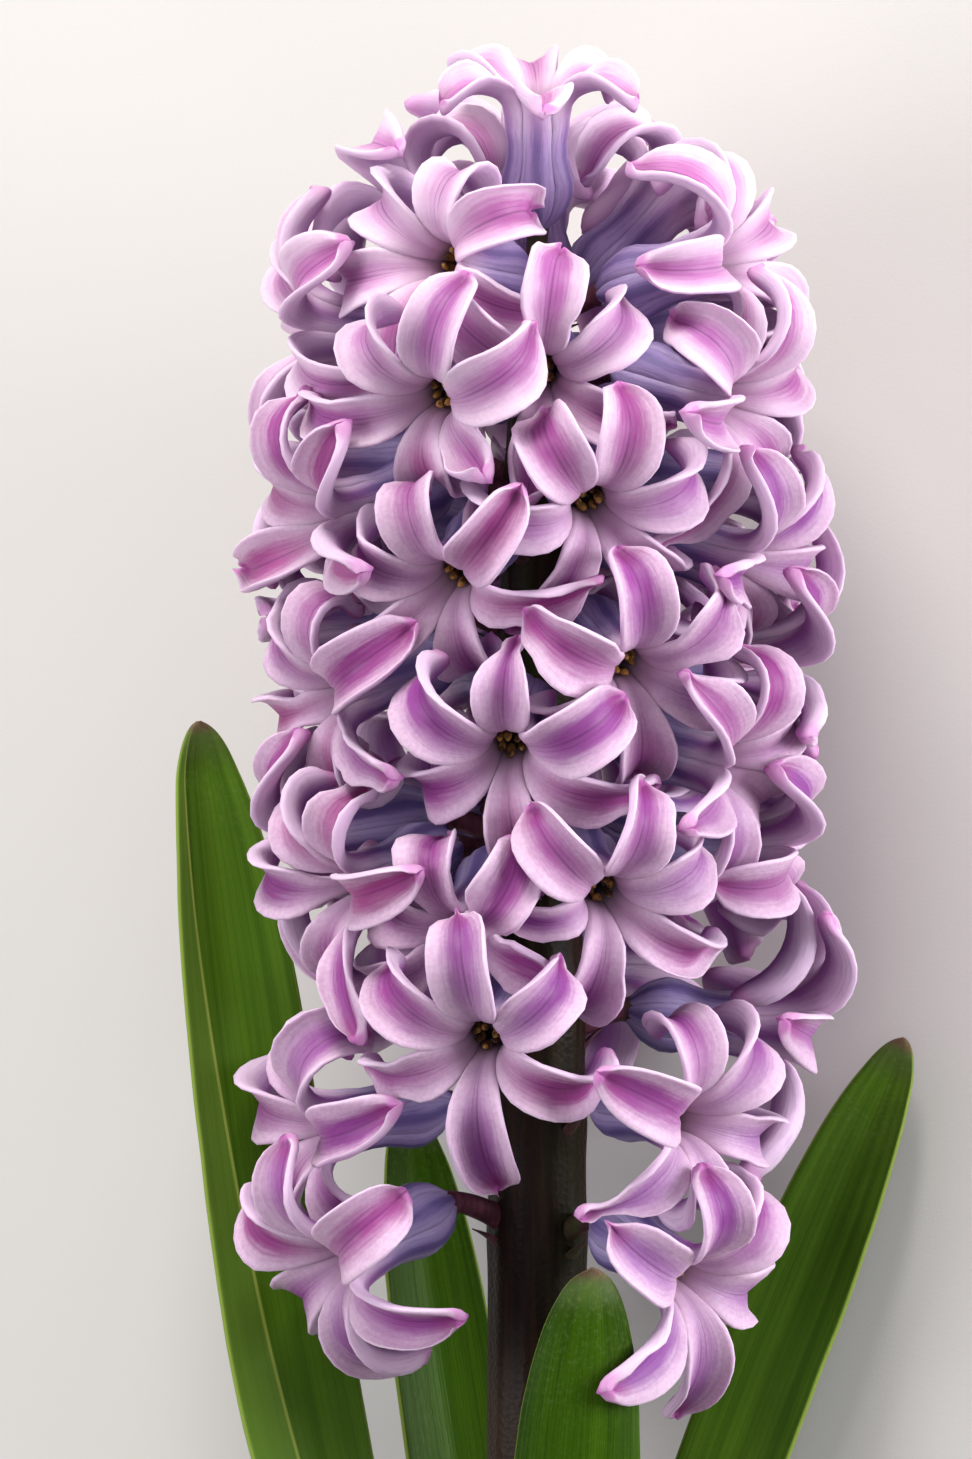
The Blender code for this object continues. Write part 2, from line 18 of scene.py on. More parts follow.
import bmesh
import bpy
import numpy as np
from mathutils import Matrix, Vector
from mathutils.kdtree import KDTree


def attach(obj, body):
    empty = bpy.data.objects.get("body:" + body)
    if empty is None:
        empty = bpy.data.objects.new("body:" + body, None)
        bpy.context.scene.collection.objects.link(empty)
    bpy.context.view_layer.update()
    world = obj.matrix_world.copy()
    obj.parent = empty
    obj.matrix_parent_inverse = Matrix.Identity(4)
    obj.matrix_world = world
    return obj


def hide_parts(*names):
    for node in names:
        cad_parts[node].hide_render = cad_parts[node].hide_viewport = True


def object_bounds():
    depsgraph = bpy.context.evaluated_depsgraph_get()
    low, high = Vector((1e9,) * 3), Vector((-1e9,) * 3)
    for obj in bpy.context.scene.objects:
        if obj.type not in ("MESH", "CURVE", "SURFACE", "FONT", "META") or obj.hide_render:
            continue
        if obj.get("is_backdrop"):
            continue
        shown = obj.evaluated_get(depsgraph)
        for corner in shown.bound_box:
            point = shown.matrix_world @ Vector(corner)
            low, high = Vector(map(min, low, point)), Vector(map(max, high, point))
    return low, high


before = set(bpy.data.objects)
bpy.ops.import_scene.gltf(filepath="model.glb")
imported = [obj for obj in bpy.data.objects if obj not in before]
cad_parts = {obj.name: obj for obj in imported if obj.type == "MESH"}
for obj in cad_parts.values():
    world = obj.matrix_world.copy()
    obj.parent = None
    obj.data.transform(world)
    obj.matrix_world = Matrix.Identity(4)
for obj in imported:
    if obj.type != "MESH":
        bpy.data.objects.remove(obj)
cad_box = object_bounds()
print("solid model:", len(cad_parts), "nodes, box", cad_box)

# %% [markdown]
# ## How the plant lies
#
# It is easiest to think of the plant as it grew: z up the stalk from its cut end, x to the right, the front
# facing -y, all in millimetres. One turn and one move then lay it down, so that it rests on three low
# points of its back. Every shape below is worked out standing up and laid down at the last moment.

# %% From the standing plant to the table
METRES_PER_MM = 0.001
LIE_ROLL = 14.81
LIE_PITCH = -80.37
LIE_MOVE = np.array((1.07, -132.89, 7.88))
LIE = Matrix.Rotation(math.radians(LIE_PITCH), 4, "X") @ Matrix.Rotation(math.radians(LIE_ROLL), 4, "Z")
LIE_TURN = np.array(LIE)[:3, :3]
AXIS = np.array((0.0, 0.0, 1.0))


def lay_points(points):
    """Points of the standing plant, in millimetres, laid down, in metres."""
    return (np.asarray(points) @ LIE_TURN.T + LIE_MOVE) * METRES_PER_MM


def stand_points(points):
    """The other way round."""
    return (np.asarray(points) / METRES_PER_MM - LIE_MOVE) @ LIE_TURN


def ease(start, end, value):
    """0 before start, 1 after end, and a smooth rise between them."""
    part = np.clip((np.asarray(value, float) - start) / (end - start), 0.0, 1.0)
    return part * part * (3.0 - 2.0 * part)


def table(pairs, value):
    """Reads a table of pairs, with straight lines between them."""
    return np.interp(value, *zip(*pairs))


def soft_table(pairs, value, blur):
    """Reads a table of pairs, with its corners rounded off over the blur."""
    shifts = np.linspace(-blur, blur, 9)
    return np.mean([table(pairs, np.asarray(value) + shift) for shift in shifts], axis=0)


def travelled(slope, step):
    """How far a line has gone at each of its points, from its slope there and the length of its steps."""
    middles = (slope[..., 1:] + slope[..., :-1]) / 2.0
    start = np.zeros(slope.shape[:-1] + (1,))
    return np.asarray(step)[..., None] * np.concatenate((start, np.cumsum(middles, axis=-1)), axis=-1)


def outward(angle):
    """The level direction away from the stalk at an angle round it, 0 in front and 90 on the right."""
    turn = math.radians(angle)
    return np.array((math.sin(turn), -math.cos(turn), 0.0))


print("the stalk's foot lies at", lay_points((0, 0, 0)).round(4))

# %% [markdown]
# ## Where the florets sit
#
# A hyacinth's florets wind round the stalk, but each finds its own room, so no simple rule gives the ones
# that the eye reads first. The florets in front are listed one by one, from the most to the least prominent,
# and those at the back by a rule with seeded draws. Both lists are the solid model's own.

# %% Places of the florets
# Height of the mouth, angle round the stalk, upward tilt, distance out, angle of one petal
FRONT_FLORETS = (
    (262, 0, 74, 6, 30),
    (243, -36, 5, 19, 22),
    (243, 66, 14, 23, 20),
    (250, 112, 45, 16, 0),
    (251, -112, 48, 16, 10),
    (251, 180, 50, 15, 30),
    (147, -14, -20, 27, 26),
    (120, -60, -25, 26, 22),
    (229, 1, -17, 21, 27),
    (213, 15, -25, 25, 12),
    (183, -8, -28, 25, 30),
    (193, 25, -25, 26, 40),
    (204, -24, -28, 25, 40),
    (226, -27, -20, 27, 10),
    (165, 18, -24, 26, 23),
    (137, 42, -10, 26, 45),
    (118, 46, -25, 24, 47),
    (161, -23, -32, 22, 35),
    (181, 57, -12, 26, 27),
    (226, 58, -15, 26, 20),
    (206, 66, -18, 26, 5),
    (166, -57, -18, 26, 0),
    (190, -62, -18, 26, 15),
    (136, -72, -10, 26, 50),
    (170, 86, 0, 27, 25),
    (212, -62, -18, 26, 35),
    (235, -86, 5, 25, 20),
    (238, 105, 15, 24, 50),
    (199, -98, -5, 26, 5),
    (193, 93, -5, 26, 30),
    (216, 98, -5, 26, 55),
    (172, -92, -8, 26, 30),
    (148, 98, -8, 26, 10),
    (219, -102, 0, 25, 50),
)
BACK_LOWEST = 156.0
BACK_ROW_STEP = 18.0
BACK_ROWS = 5
BACK_PLACES = ((-0.5, 0.5), (-1, 0, 1))
BACK_SPACING = 38.0
BACK_DISTANCE = 25.0
# How far the draws may move a floret at the back: in height, angle and distance, then the ranges of its tilt
# and roll
BACK_SHIFT = 1.5
BACK_TURN = 2
BACK_REACH = 1
BACK_TILT = (-12, 2)
BACK_ROLL = (0, 60)
BACK_SEED = 7
TUBE_LENGTH = 14.5


def back_florets():
    """The rows of florets at the back, as in the list above."""
    draw = random.Random(BACK_SEED)
    rows = []
    for row in range(BACK_ROWS):
        for place in BACK_PLACES[row % 2]:
            height = BACK_LOWEST + BACK_ROW_STEP * row + draw.uniform(-BACK_SHIFT, BACK_SHIFT)
            angle = 180 + BACK_SPACING * place + draw.uniform(-BACK_TURN, BACK_TURN)
            tilt = draw.uniform(*BACK_TILT)
            distance = BACK_DISTANCE + draw.uniform(-BACK_REACH, BACK_REACH)
            rows.append((height, angle, tilt, distance, draw.uniform(*BACK_ROLL)))
    return rows


def placed_floret(height, angle, tilt, distance, roll):
    """One floret, with its base and the directions of its right, up and forward, out through its mouth."""
    radial = outward(angle)
    lift = math.radians(tilt)
    forward = math.cos(lift) * radial + math.sin(lift) * AXIS
    up = -math.sin(lift) * radial + math.cos(lift) * AXIS
    base = distance * radial + height * AXIS - TUBE_LENGTH * forward
    axes = np.column_stack((np.cross(up, forward), up, forward))
    return SimpleNamespace(height=height, angle=angle, roll=roll, base=base, axes=axes, forward=forward)


FLORETS = [placed_floret(*row) for row in (*FRONT_FLORETS, *back_florets())]
print(len(FLORETS), "florets")

# %% [markdown]
# ## How each petal is bent
#
# A petal that is free flares out and rolls back. One that is crowded by its neighbours opens less, and the
# solid model has already settled that, petal by petal. Rather than settle it again, this step recognises
# each bend: it lists the poses that a petal could have taken and keeps the one whose tip is a corner of the
# solid.

# %% Poses that a petal can take
TEPALS = 6
TEPAL_LENGTH = 20.5
TEPAL_START_RADIUS = 3.25
# Its bends, in degrees, and the parts of its length over which they come: out, then back, then in at the tip
TEPAL_START_ANGLE = 12.0
TEPAL_FLARE = 80.0
FLARE_SPAN = (0.0, 0.42)
TEPAL_RECURVE = 95.0
UPPER_RECURVE = 35.0
RECURVE_SPAN = (0.3, 0.95)
TEPAL_HOOK = 40.0
HOOK_SPAN = (0.85, 1.0)
UPWARD_SWING = 11.0
SPINE_STEPS = np.linspace(0.0, 1.0, 41)
# The youngest floret has short tepals that open less
YOUNG_HEIGHT = 258.0
YOUNG_REACH = 0.6
YOUNG_OPENING = 0.78
# How much the draws change each tepal
FLARE_SPREAD = 10
RECURVE_SPREAD = 25
SWING_SPREAD = 6
TWIST_SPREAD = 14
LENGTH_SPREAD = (0.87, 1.1)
WISH_SEED = 3
# The changes that the solid model tried on a tepal without room, and the closed ones that it tried last
CHOICES = 220
CHOICE_SEED = 3
FLARE_CHANGE = (-70, 30)
RECURVE_CHANGE = (-90, 70)
SWING_CHANGE = 34
SWING_SHUT_ANGLE = 80.0
LENGTH_CHANGE = 0.5
CLOSED_RECURVE = 8.0
CLOSED_LENGTHS = (0.46, 0.36, 0.27, 0.18)


def tepal_turn(flare, recurve):
    """The petal's angle away from the floret's axis at each step, for one pose or for many."""
    start = TEPAL_START_ANGLE - TEPAL_HOOK * ease(*HOOK_SPAN, SPINE_STEPS)
    flared = np.multiply.outer(flare, ease(*FLARE_SPAN, SPINE_STEPS))
    return np.radians(start + flared + np.multiply.outer(recurve, ease(*RECURVE_SPAN, SPINE_STEPS)))


def tepal_line(turn, length):
    """How far out and how far along the floret's axis the centre line is at each step."""
    step = np.asarray(length) / (len(SPINE_STEPS) - 1)
    return TEPAL_START_RADIUS + travelled(np.sin(turn), step), TUBE_LENGTH + travelled(np.cos(turn), step)


def tepal_choices():
    """The changes to a pose that the solid model tried: keep, flare, recurve, swing, length."""
    draw = random.Random(CHOICE_SEED)
    choices = [(1.0, 0.0, 0.0, 0.0, 1.0)]
    for k in range(1, CHOICES):
        part = k / CHOICES
        reach = part**0.5
        flare = draw.uniform(*FLARE_CHANGE) * reach
        recurve = draw.uniform(*RECURVE_CHANGE) * reach
        swing = draw.uniform(-SWING_CHANGE, SWING_CHANGE) * reach * (1.0 + min(flare, 0.0) / SWING_SHUT_ANGLE)
        choices.append((1.0, flare, recurve, swing, 1.0 - LENGTH_CHANGE * part**2))
    return np.array(choices + [(0.0, 0.0, CLOSED_RECURVE, 0.0, length) for length in CLOSED_LENGTHS])


def wished_pose(floret, angle, draw):
    """Flare, recurve, swing, twist and length of a tepal that has all the room it wants."""
    reach, opening = (YOUNG_REACH, YOUNG_OPENING) if floret.height > YOUNG_HEIGHT else (1.0, 1.0)
    flare = TEPAL_FLARE * opening + draw.uniform(-FLARE_SPREAD, FLARE_SPREAD)
    recurve = (TEPAL_RECURVE + UPPER_RECURVE * math.sin(angle)) * opening
    recurve += draw.uniform(-RECURVE_SPREAD, RECURVE_SPREAD)
    swing = UPWARD_SWING * math.cos(angle) + draw.uniform(-SWING_SPREAD, SWING_SPREAD)
    twist = draw.uniform(-TWIST_SPREAD, TWIST_SPREAD)
    return flare, recurve, swing, twist, TEPAL_LENGTH * reach * draw.uniform(*LENGTH_SPREAD)


CHANGES = tepal_choices()
print(len(CHANGES), "poses to compare for each petal")

# %% Recognise the bends
def solid_corners(number, floret):
    """The corners of one floret's solid, in the floret's own directions."""
    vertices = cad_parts[f"floret_{number + 1:02d}"].data.vertices
    points = np.empty(len(vertices) * 3)
    vertices.foreach_get("co", points)
    corners = np.unique(stand_points(points.reshape(-1, 3)).round(4), axis=0)
    return (corners - floret.base) @ floret.axes


def pose_tips(poses, angle):
    """Where the tip of a tepal comes in each pose, in the floret's own directions."""
    out, up = tepal_line(tepal_turn(poses[:, 0], poses[:, 1]), poses[:, 4])
    drift = np.tan(np.radians(poses[:, 2])) * poses[:, 4]
    radial = np.array((math.cos(angle), math.sin(angle)))
    sideways = np.array((-math.sin(angle), math.cos(angle)))
    level = np.outer(out[:, -1], radial) + np.outer(drift, sideways)
    return np.column_stack((level, up[:, -1]))


def bend_tepals():
    """Gives every tepal the pose whose tip is nearest to a corner, and returns the worst gap."""
    draw = random.Random(WISH_SEED)
    keep = CHANGES[:, 0]
    worst = 0.0
    for number, floret in enumerate(FLORETS):
        corners = solid_corners(number, floret)
        floret.tepals = []
        for place in range(TEPALS):
            angle = math.radians(floret.roll + 360 / TEPALS * place)
            flare, recurve, swing, twist, length = wished_pose(floret, angle, draw)
            poses = np.column_stack((
                keep * flare + CHANGES[:, 1],
                keep * recurve + CHANGES[:, 2],
                keep * swing + CHANGES[:, 3],
                keep * twist,
                length * CHANGES[:, 4],
            ))
            tips = pose_tips(poses, angle)
            gaps = np.linalg.norm(tips[:, None] - corners[None], axis=2).min(axis=1)
            found = int(gaps.argmin())
            worst = max(worst, gaps[found])
            pose = dict(zip(("flare", "recurve", "swing", "twist", "length"), poses[found]))
            floret.tepals.append(SimpleNamespace(angle=angle, is_free=found == 0, **pose))
    return worst


print("bends recognised to within", round(float(bend_tepals()), 4), "mm")

# %% [markdown]
# ## Helpers for node trees
#
# Materials and Geometry Nodes trees are built in code. One function adds a node, sets it up and links what
# feeds it, and hands back the output that the next node needs, so a tree reads like a chain of sums.
# Colours are written as the hex values that a colour picker shows, and one function turns them into the
# linear values of the shader.

# %% Helpers
SCENE = bpy.context.scene
RANGE = "ShaderNodeMapRange"
NOISE = "ShaderNodeTexNoise"
CELLS = "ShaderNodeTexVoronoi"
XYZ = "ShaderNodeCombineXYZ"
VECTOR = "ShaderNodeVectorMath"
BUMP = "ShaderNodeBump"
NAMED = "GeometryNodeInputNamedAttribute"
STORE = "GeometryNodeStoreNamedAttribute"
SOFT = {"interpolation_type": "SMOOTHSTEP"}
NUMBER = {"data_type": "FLOAT"}
# A pattern's scale is how often it repeats in a metre, so repeats in a millimetre times this
PER_MM = 1000.0


def feed(tree, inputs, values):
    """Gives inputs, by name or number, their values. An output of another node is linked."""
    for socket, value in values.items():
        if isinstance(value, bpy.types.NodeSocket):
            tree.links.new(value, inputs[socket])
        else:
            inputs[socket].default_value = value


def node(tree, kind, *values, out=0, at=None, **settings):
    """Adds a node with its settings, values for its first inputs and for those in at, and returns one output.

    A kind in capitals is an operation of the Math node.
    """
    if kind.isupper():
        kind, settings = "ShaderNodeMath", {"operation": kind}
    made = tree.nodes.new(kind)
    for name, value in settings.items():
        setattr(made, name, value)
    feed(tree, made.inputs, dict(enumerate(values)))
    feed(tree, made.inputs, at or {})
    return made.outputs[out]


def colour(hex_value):
    """An sRGB hex value as linear red, green, blue and alpha."""
    parts = [int(hex_value[k : k + 2], 16) / 255 for k in (1, 3, 5)]
    return (*[p / 12.92 if p <= 0.04045 else ((p + 0.055) / 1.055) ** 2.4 for p in parts], 1.0)


def painted(tree, base, *layers):
    """Lays colours over a base colour and returns the result.

    Each layer says where it shows, how strongly and in what colour. Where it shows is a value from 0 to 1,
    or a value with the two ends of the soft step to take from it.
    """
    for place, strength, tint in layers:
        if isinstance(place, tuple):
            amount = node(tree, RANGE, *place, 0.0, strength, **SOFT)
        else:
            amount = node(tree, "MULTIPLY", place, strength)
        colours = [colour(value) if isinstance(value, str) else value for value in (base, tint)]
        base = node(tree, "ShaderNodeMix", amount, out=2, at=dict(zip((6, 7), colours)), data_type="RGBA")
    return base


def new_material(name):
    """A material, its tree and its shader."""
    made = bpy.data.materials.new(name)
    made.use_nodes = True
    return made, made.node_tree, made.node_tree.nodes["Principled BSDF"]


print("white is", colour("#FFFFFF"))

# %% [markdown]
# ## Helpers that grow a piece
#
# A piece starts as a few guide lines that know at each point how wide, thick and curled the piece is there.
# A Geometry Nodes tree grows the skin round them, and the result is kept as a plain mesh. The tree holds
# the rule and the lines hold the numbers, so one rule serves every petal, leaf and stalk.

# %% Helpers for growing
def new_tree(name, inputs):
    """An empty Geometry Nodes tree with named inputs, and its two ends."""
    tree = bpy.data.node_groups.new(name, "GeometryNodeTree")
    tree.interface.new_socket("Geometry", in_out="INPUT", socket_type="NodeSocketGeometry")
    for label, kind, value in inputs:
        socket = tree.interface.new_socket(label, in_out="INPUT", socket_type=kind)
        if value is not None:
            socket.default_value = value
    tree.interface.new_socket("Geometry", in_out="OUTPUT", socket_type="NodeSocketGeometry")
    return tree, tree.nodes.new("NodeGroupInput").outputs, tree.nodes.new("NodeGroupOutput").inputs


def marked_ring(tree, sides, radius):
    """A circle whose points store how far round it they are, in radians."""
    ring = node(tree, "GeometryNodeCurvePrimitiveCircle", at={"Resolution": sides, "Radius": radius})
    part = node(tree, "DIVIDE", node(tree, "GeometryNodeInputIndex"), sides)
    turn = node(tree, "MULTIPLY", part, math.tau)
    return node(tree, STORE, ring, at={"Name": "round", "Value": turn}, domain="POINT", **NUMBER)


def close_tree(tree, made, given, result):
    """The end of every tree: smooth shading, real geometry and its finish."""
    made = node(tree, "GeometryNodeSetShadeSmooth", made)
    made = node(tree, "GeometryNodeRealizeInstances", made)
    made = node(tree, "GeometryNodeSetMaterial", made, at={"Material": given["Finish"]})
    tree.links.new(made, result["Geometry"])
    return tree


def path_mesh(name, paths):
    """Guide lines as one mesh. Each path is a dict of row values: centre, and other numbers or vectors."""
    mesh = bpy.data.meshes.new(name)
    points = np.concatenate([path["centre"] for path in paths])
    edges = []
    start = 0
    for path in paths:
        count = len(path["centre"])
        edges += [(start + k, start + k + 1) for k in range(count - 1)]
        start += count
    mesh.from_pydata(points.tolist(), edges, [])
    for key in paths[0]:
        values = np.concatenate([path[key] for path in paths]).astype(np.float32)
        is_vector = values.ndim == 2
        attribute = mesh.attributes.new(key, "FLOAT_VECTOR" if is_vector else "FLOAT", "POINT")
        attribute.data.foreach_set("vector" if is_vector else "value", values.ravel())
    return mesh


def grow(name, paths, tree, keep, **sizes):
    """Runs a tree on guide lines and keeps the result as a plain mesh, with only the attributes to keep."""
    helper = bpy.data.objects.new(name + "_guide", path_mesh(name + "_paths", paths))
    SCENE.collection.objects.link(helper)
    modifier = helper.modifiers.new(tree.name, "NODES")
    modifier.node_group = tree
    for item in tree.interface.items_tree:
        if item.in_out == "INPUT" and item.name.replace(" ", "") in sizes:
            modifier[item.identifier] = sizes[item.name.replace(" ", "")]
    graph = bpy.context.evaluated_depsgraph_get()
    grown = helper.evaluated_get(graph)
    mesh = bpy.data.meshes.new_from_object(grown, preserve_all_data_layers=True, depsgraph=graph)
    helper.modifiers.remove(modifier)
    bpy.data.objects.remove(helper)
    mesh.name = name
    faces = bmesh.new()
    faces.from_mesh(mesh)
    bmesh.ops.recalc_face_normals(faces, faces=faces.faces)
    faces.to_mesh(mesh)
    faces.free()
    keep = (*keep, "material_index")
    names = [made.name for made in mesh.attributes if not made.is_required and not made.name.startswith(".")]
    for spare in names:
        if spare not in keep:
            mesh.attributes.remove(mesh.attributes[spare])
    piece = bpy.data.objects.new(name, mesh)
    SCENE.collection.objects.link(piece)
    return piece


def finish_piece(piece, slot, *nodes):
    """Says what a piece rides on and stands for, and counts its triangles; the slot it would take its finish
    from is not used.
    """
    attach(piece, "root")
    if nodes:
        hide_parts(*nodes)
    piece.data.calc_loop_triangles()
    return len(piece.data.loop_triangles)


# %% [markdown]
# ## A blade along a path
#
# Petals, leaves and the small scales on the stalk are one kind of organ: a blade with a hollow face, thin
# margins and a thicker middle. They could be modelled one by one with a subdivided strip, but more than 300
# of them call for a rule, so one Geometry Nodes tree makes them all. Each blade starts as a line of points
# that know which way is across, which way the hollow faces, how wide the blade is there and how tightly it
# is curled. A ring of points is swept along that line, and then each point is set in its place on the
# curled section. Where the blade meets the table it is pressed flat rather than let through.

# %% The blade tree
FLOOR_CLEARANCE = 0.15 * METRES_PER_MM
# The ring only has to be small: its points are set in place afterwards
RING_RADIUS = 1.0 * METRES_PER_MM
# How sharply the curl keeps to the margins, and the groove to the middle
CURL_POWER = 3.0
GROOVE_POWER = 7.0
RIPPLE_WAVES = 1.6


def blade_tree():
    """Grows a blade round each guide line."""
    tree, given, result = new_tree("blade_along_path", (
        ("Sides", "NodeSocketInt", 24),
        ("Fullness", "NodeSocketFloat", 0.5),
        ("Ripple Scale", "NodeSocketFloat", 2.0),
        ("Rest Height", "NodeSocketFloat", FLOOR_CLEARANCE),
        ("Finish", "NodeSocketMaterial", None),
    ))
    add = partial(node, tree)
    around, along, chance, half, channel = (
        add(NAMED, name, **NUMBER) for name in ("round", "along", "chance", "half", "channel"))
    thick, curl, curl_tilt, ripple, groove = (
        add(NAMED, name, **NUMBER) for name in ("thick", "curl", "curl_tilt", "ripple", "groove"))
    centre, across, normal = (
        add(NAMED, name, data_type="FLOAT_VECTOR") for name in ("centre", "across", "normal"))
    lines = add("GeometryNodeMeshToCurve", given["Geometry"])
    ring = marked_ring(tree, given["Sides"], RING_RADIUS)
    blade = add("GeometryNodeCurveToMesh", at={"Curve": lines, "Profile Curve": ring, "Fill Caps": True})
    # Across the blade: side runs from -1 to 1, and lift from -1 on the outer face to 1 on the inner one
    side = add("COSINE", around)
    rise = add("SINE", around)
    lift = add("MULTIPLY", add("SIGN", rise), add("POWER", add("ABSOLUTE", rise), given["Fullness"]))
    # The section is an arc with the radius of the channel, and facing is the way out of its hollow side
    angle = add("DIVIDE", add("MULTIPLY", side, half), channel)
    sine = add("SINE", angle)
    cosine = add("COSINE", angle)
    depth = add("MULTIPLY", channel, add("SUBTRACT", 1.0, cosine))
    toward_normal, toward_across, sideways, inward = (
        add(VECTOR, vector, at={"Scale": amount}, operation="SCALE")
        for vector, amount in (
            (normal, cosine), (across, sine), (across, add("MULTIPLY", channel, sine)), (normal, depth))
    )
    facing = add(VECTOR, toward_normal, toward_across, operation="SUBTRACT")
    section = add(VECTOR, sideways, inward, operation="ADD")
    # Out from the arc: the thickness, the curl and the ripple of the margins, less the groove in the middle
    reach = add("ABSOLUTE", side)
    edge = add("POWER", reach, CURL_POWER)
    lean = add("MULTIPLY", add("MULTIPLY_ADD", side, curl_tilt, curl), edge)
    where = add(XYZ, add("MULTIPLY", along, given["Ripple Scale"]), side, chance)
    waves = add(NOISE, at={"Vector": where, "Scale": RIPPLE_WAVES, "Detail": 1.0})
    wave = add("MULTIPLY", add("SUBTRACT", waves, 0.5), add("MULTIPLY", ripple, edge))
    dip = add("MULTIPLY", add("POWER", add("SUBTRACT", 1.0, reach), GROOVE_POWER), groove)
    out = add("ADD", add("MULTIPLY", add("MULTIPLY", lift, 0.5), thick), lean)
    out = add("SUBTRACT", add("ADD", out, wave), dip)
    place = add(VECTOR, centre, section, operation="ADD")
    raised = add(VECTOR, facing, at={"Scale": out}, operation="SCALE")
    place = add(VECTOR, place, raised, operation="ADD")
    x, y, z = add("ShaderNodeSeparateXYZ", place).node.outputs
    place = add(XYZ, x, y, add("MAXIMUM", z, given["Rest Height"]))
    for name, value in (("side", side), ("face", lift)):
        blade = add(STORE, blade, at={"Name": name, "Value": value}, domain="POINT", **NUMBER)
    blade = add("GeometryNodeSetPosition", blade, at={"Position": place})
    return close_tree(tree, blade, given, result)


BLADE = blade_tree()
print("blade tree:", len(BLADE.nodes), "nodes")

# %% [markdown]
# ## The petals' finish
#
# A hyacinth petal is waxy and a little translucent. From the front it has a magenta stripe with a few fine
# darker lines, which fades through lilac into pale margins with a bright rim. Its back and the tube are
# bluer, with one broad slate stripe for each petal. A painted picture wrapped round each petal could show
# this, but every petal would look alike, so the pattern is worked out from the blade's own side, face and
# along values, with a number drawn by lot for each petal.

# %% Petal material
PETAL_KEEP = ("along", "side", "face", "chance", "youth")


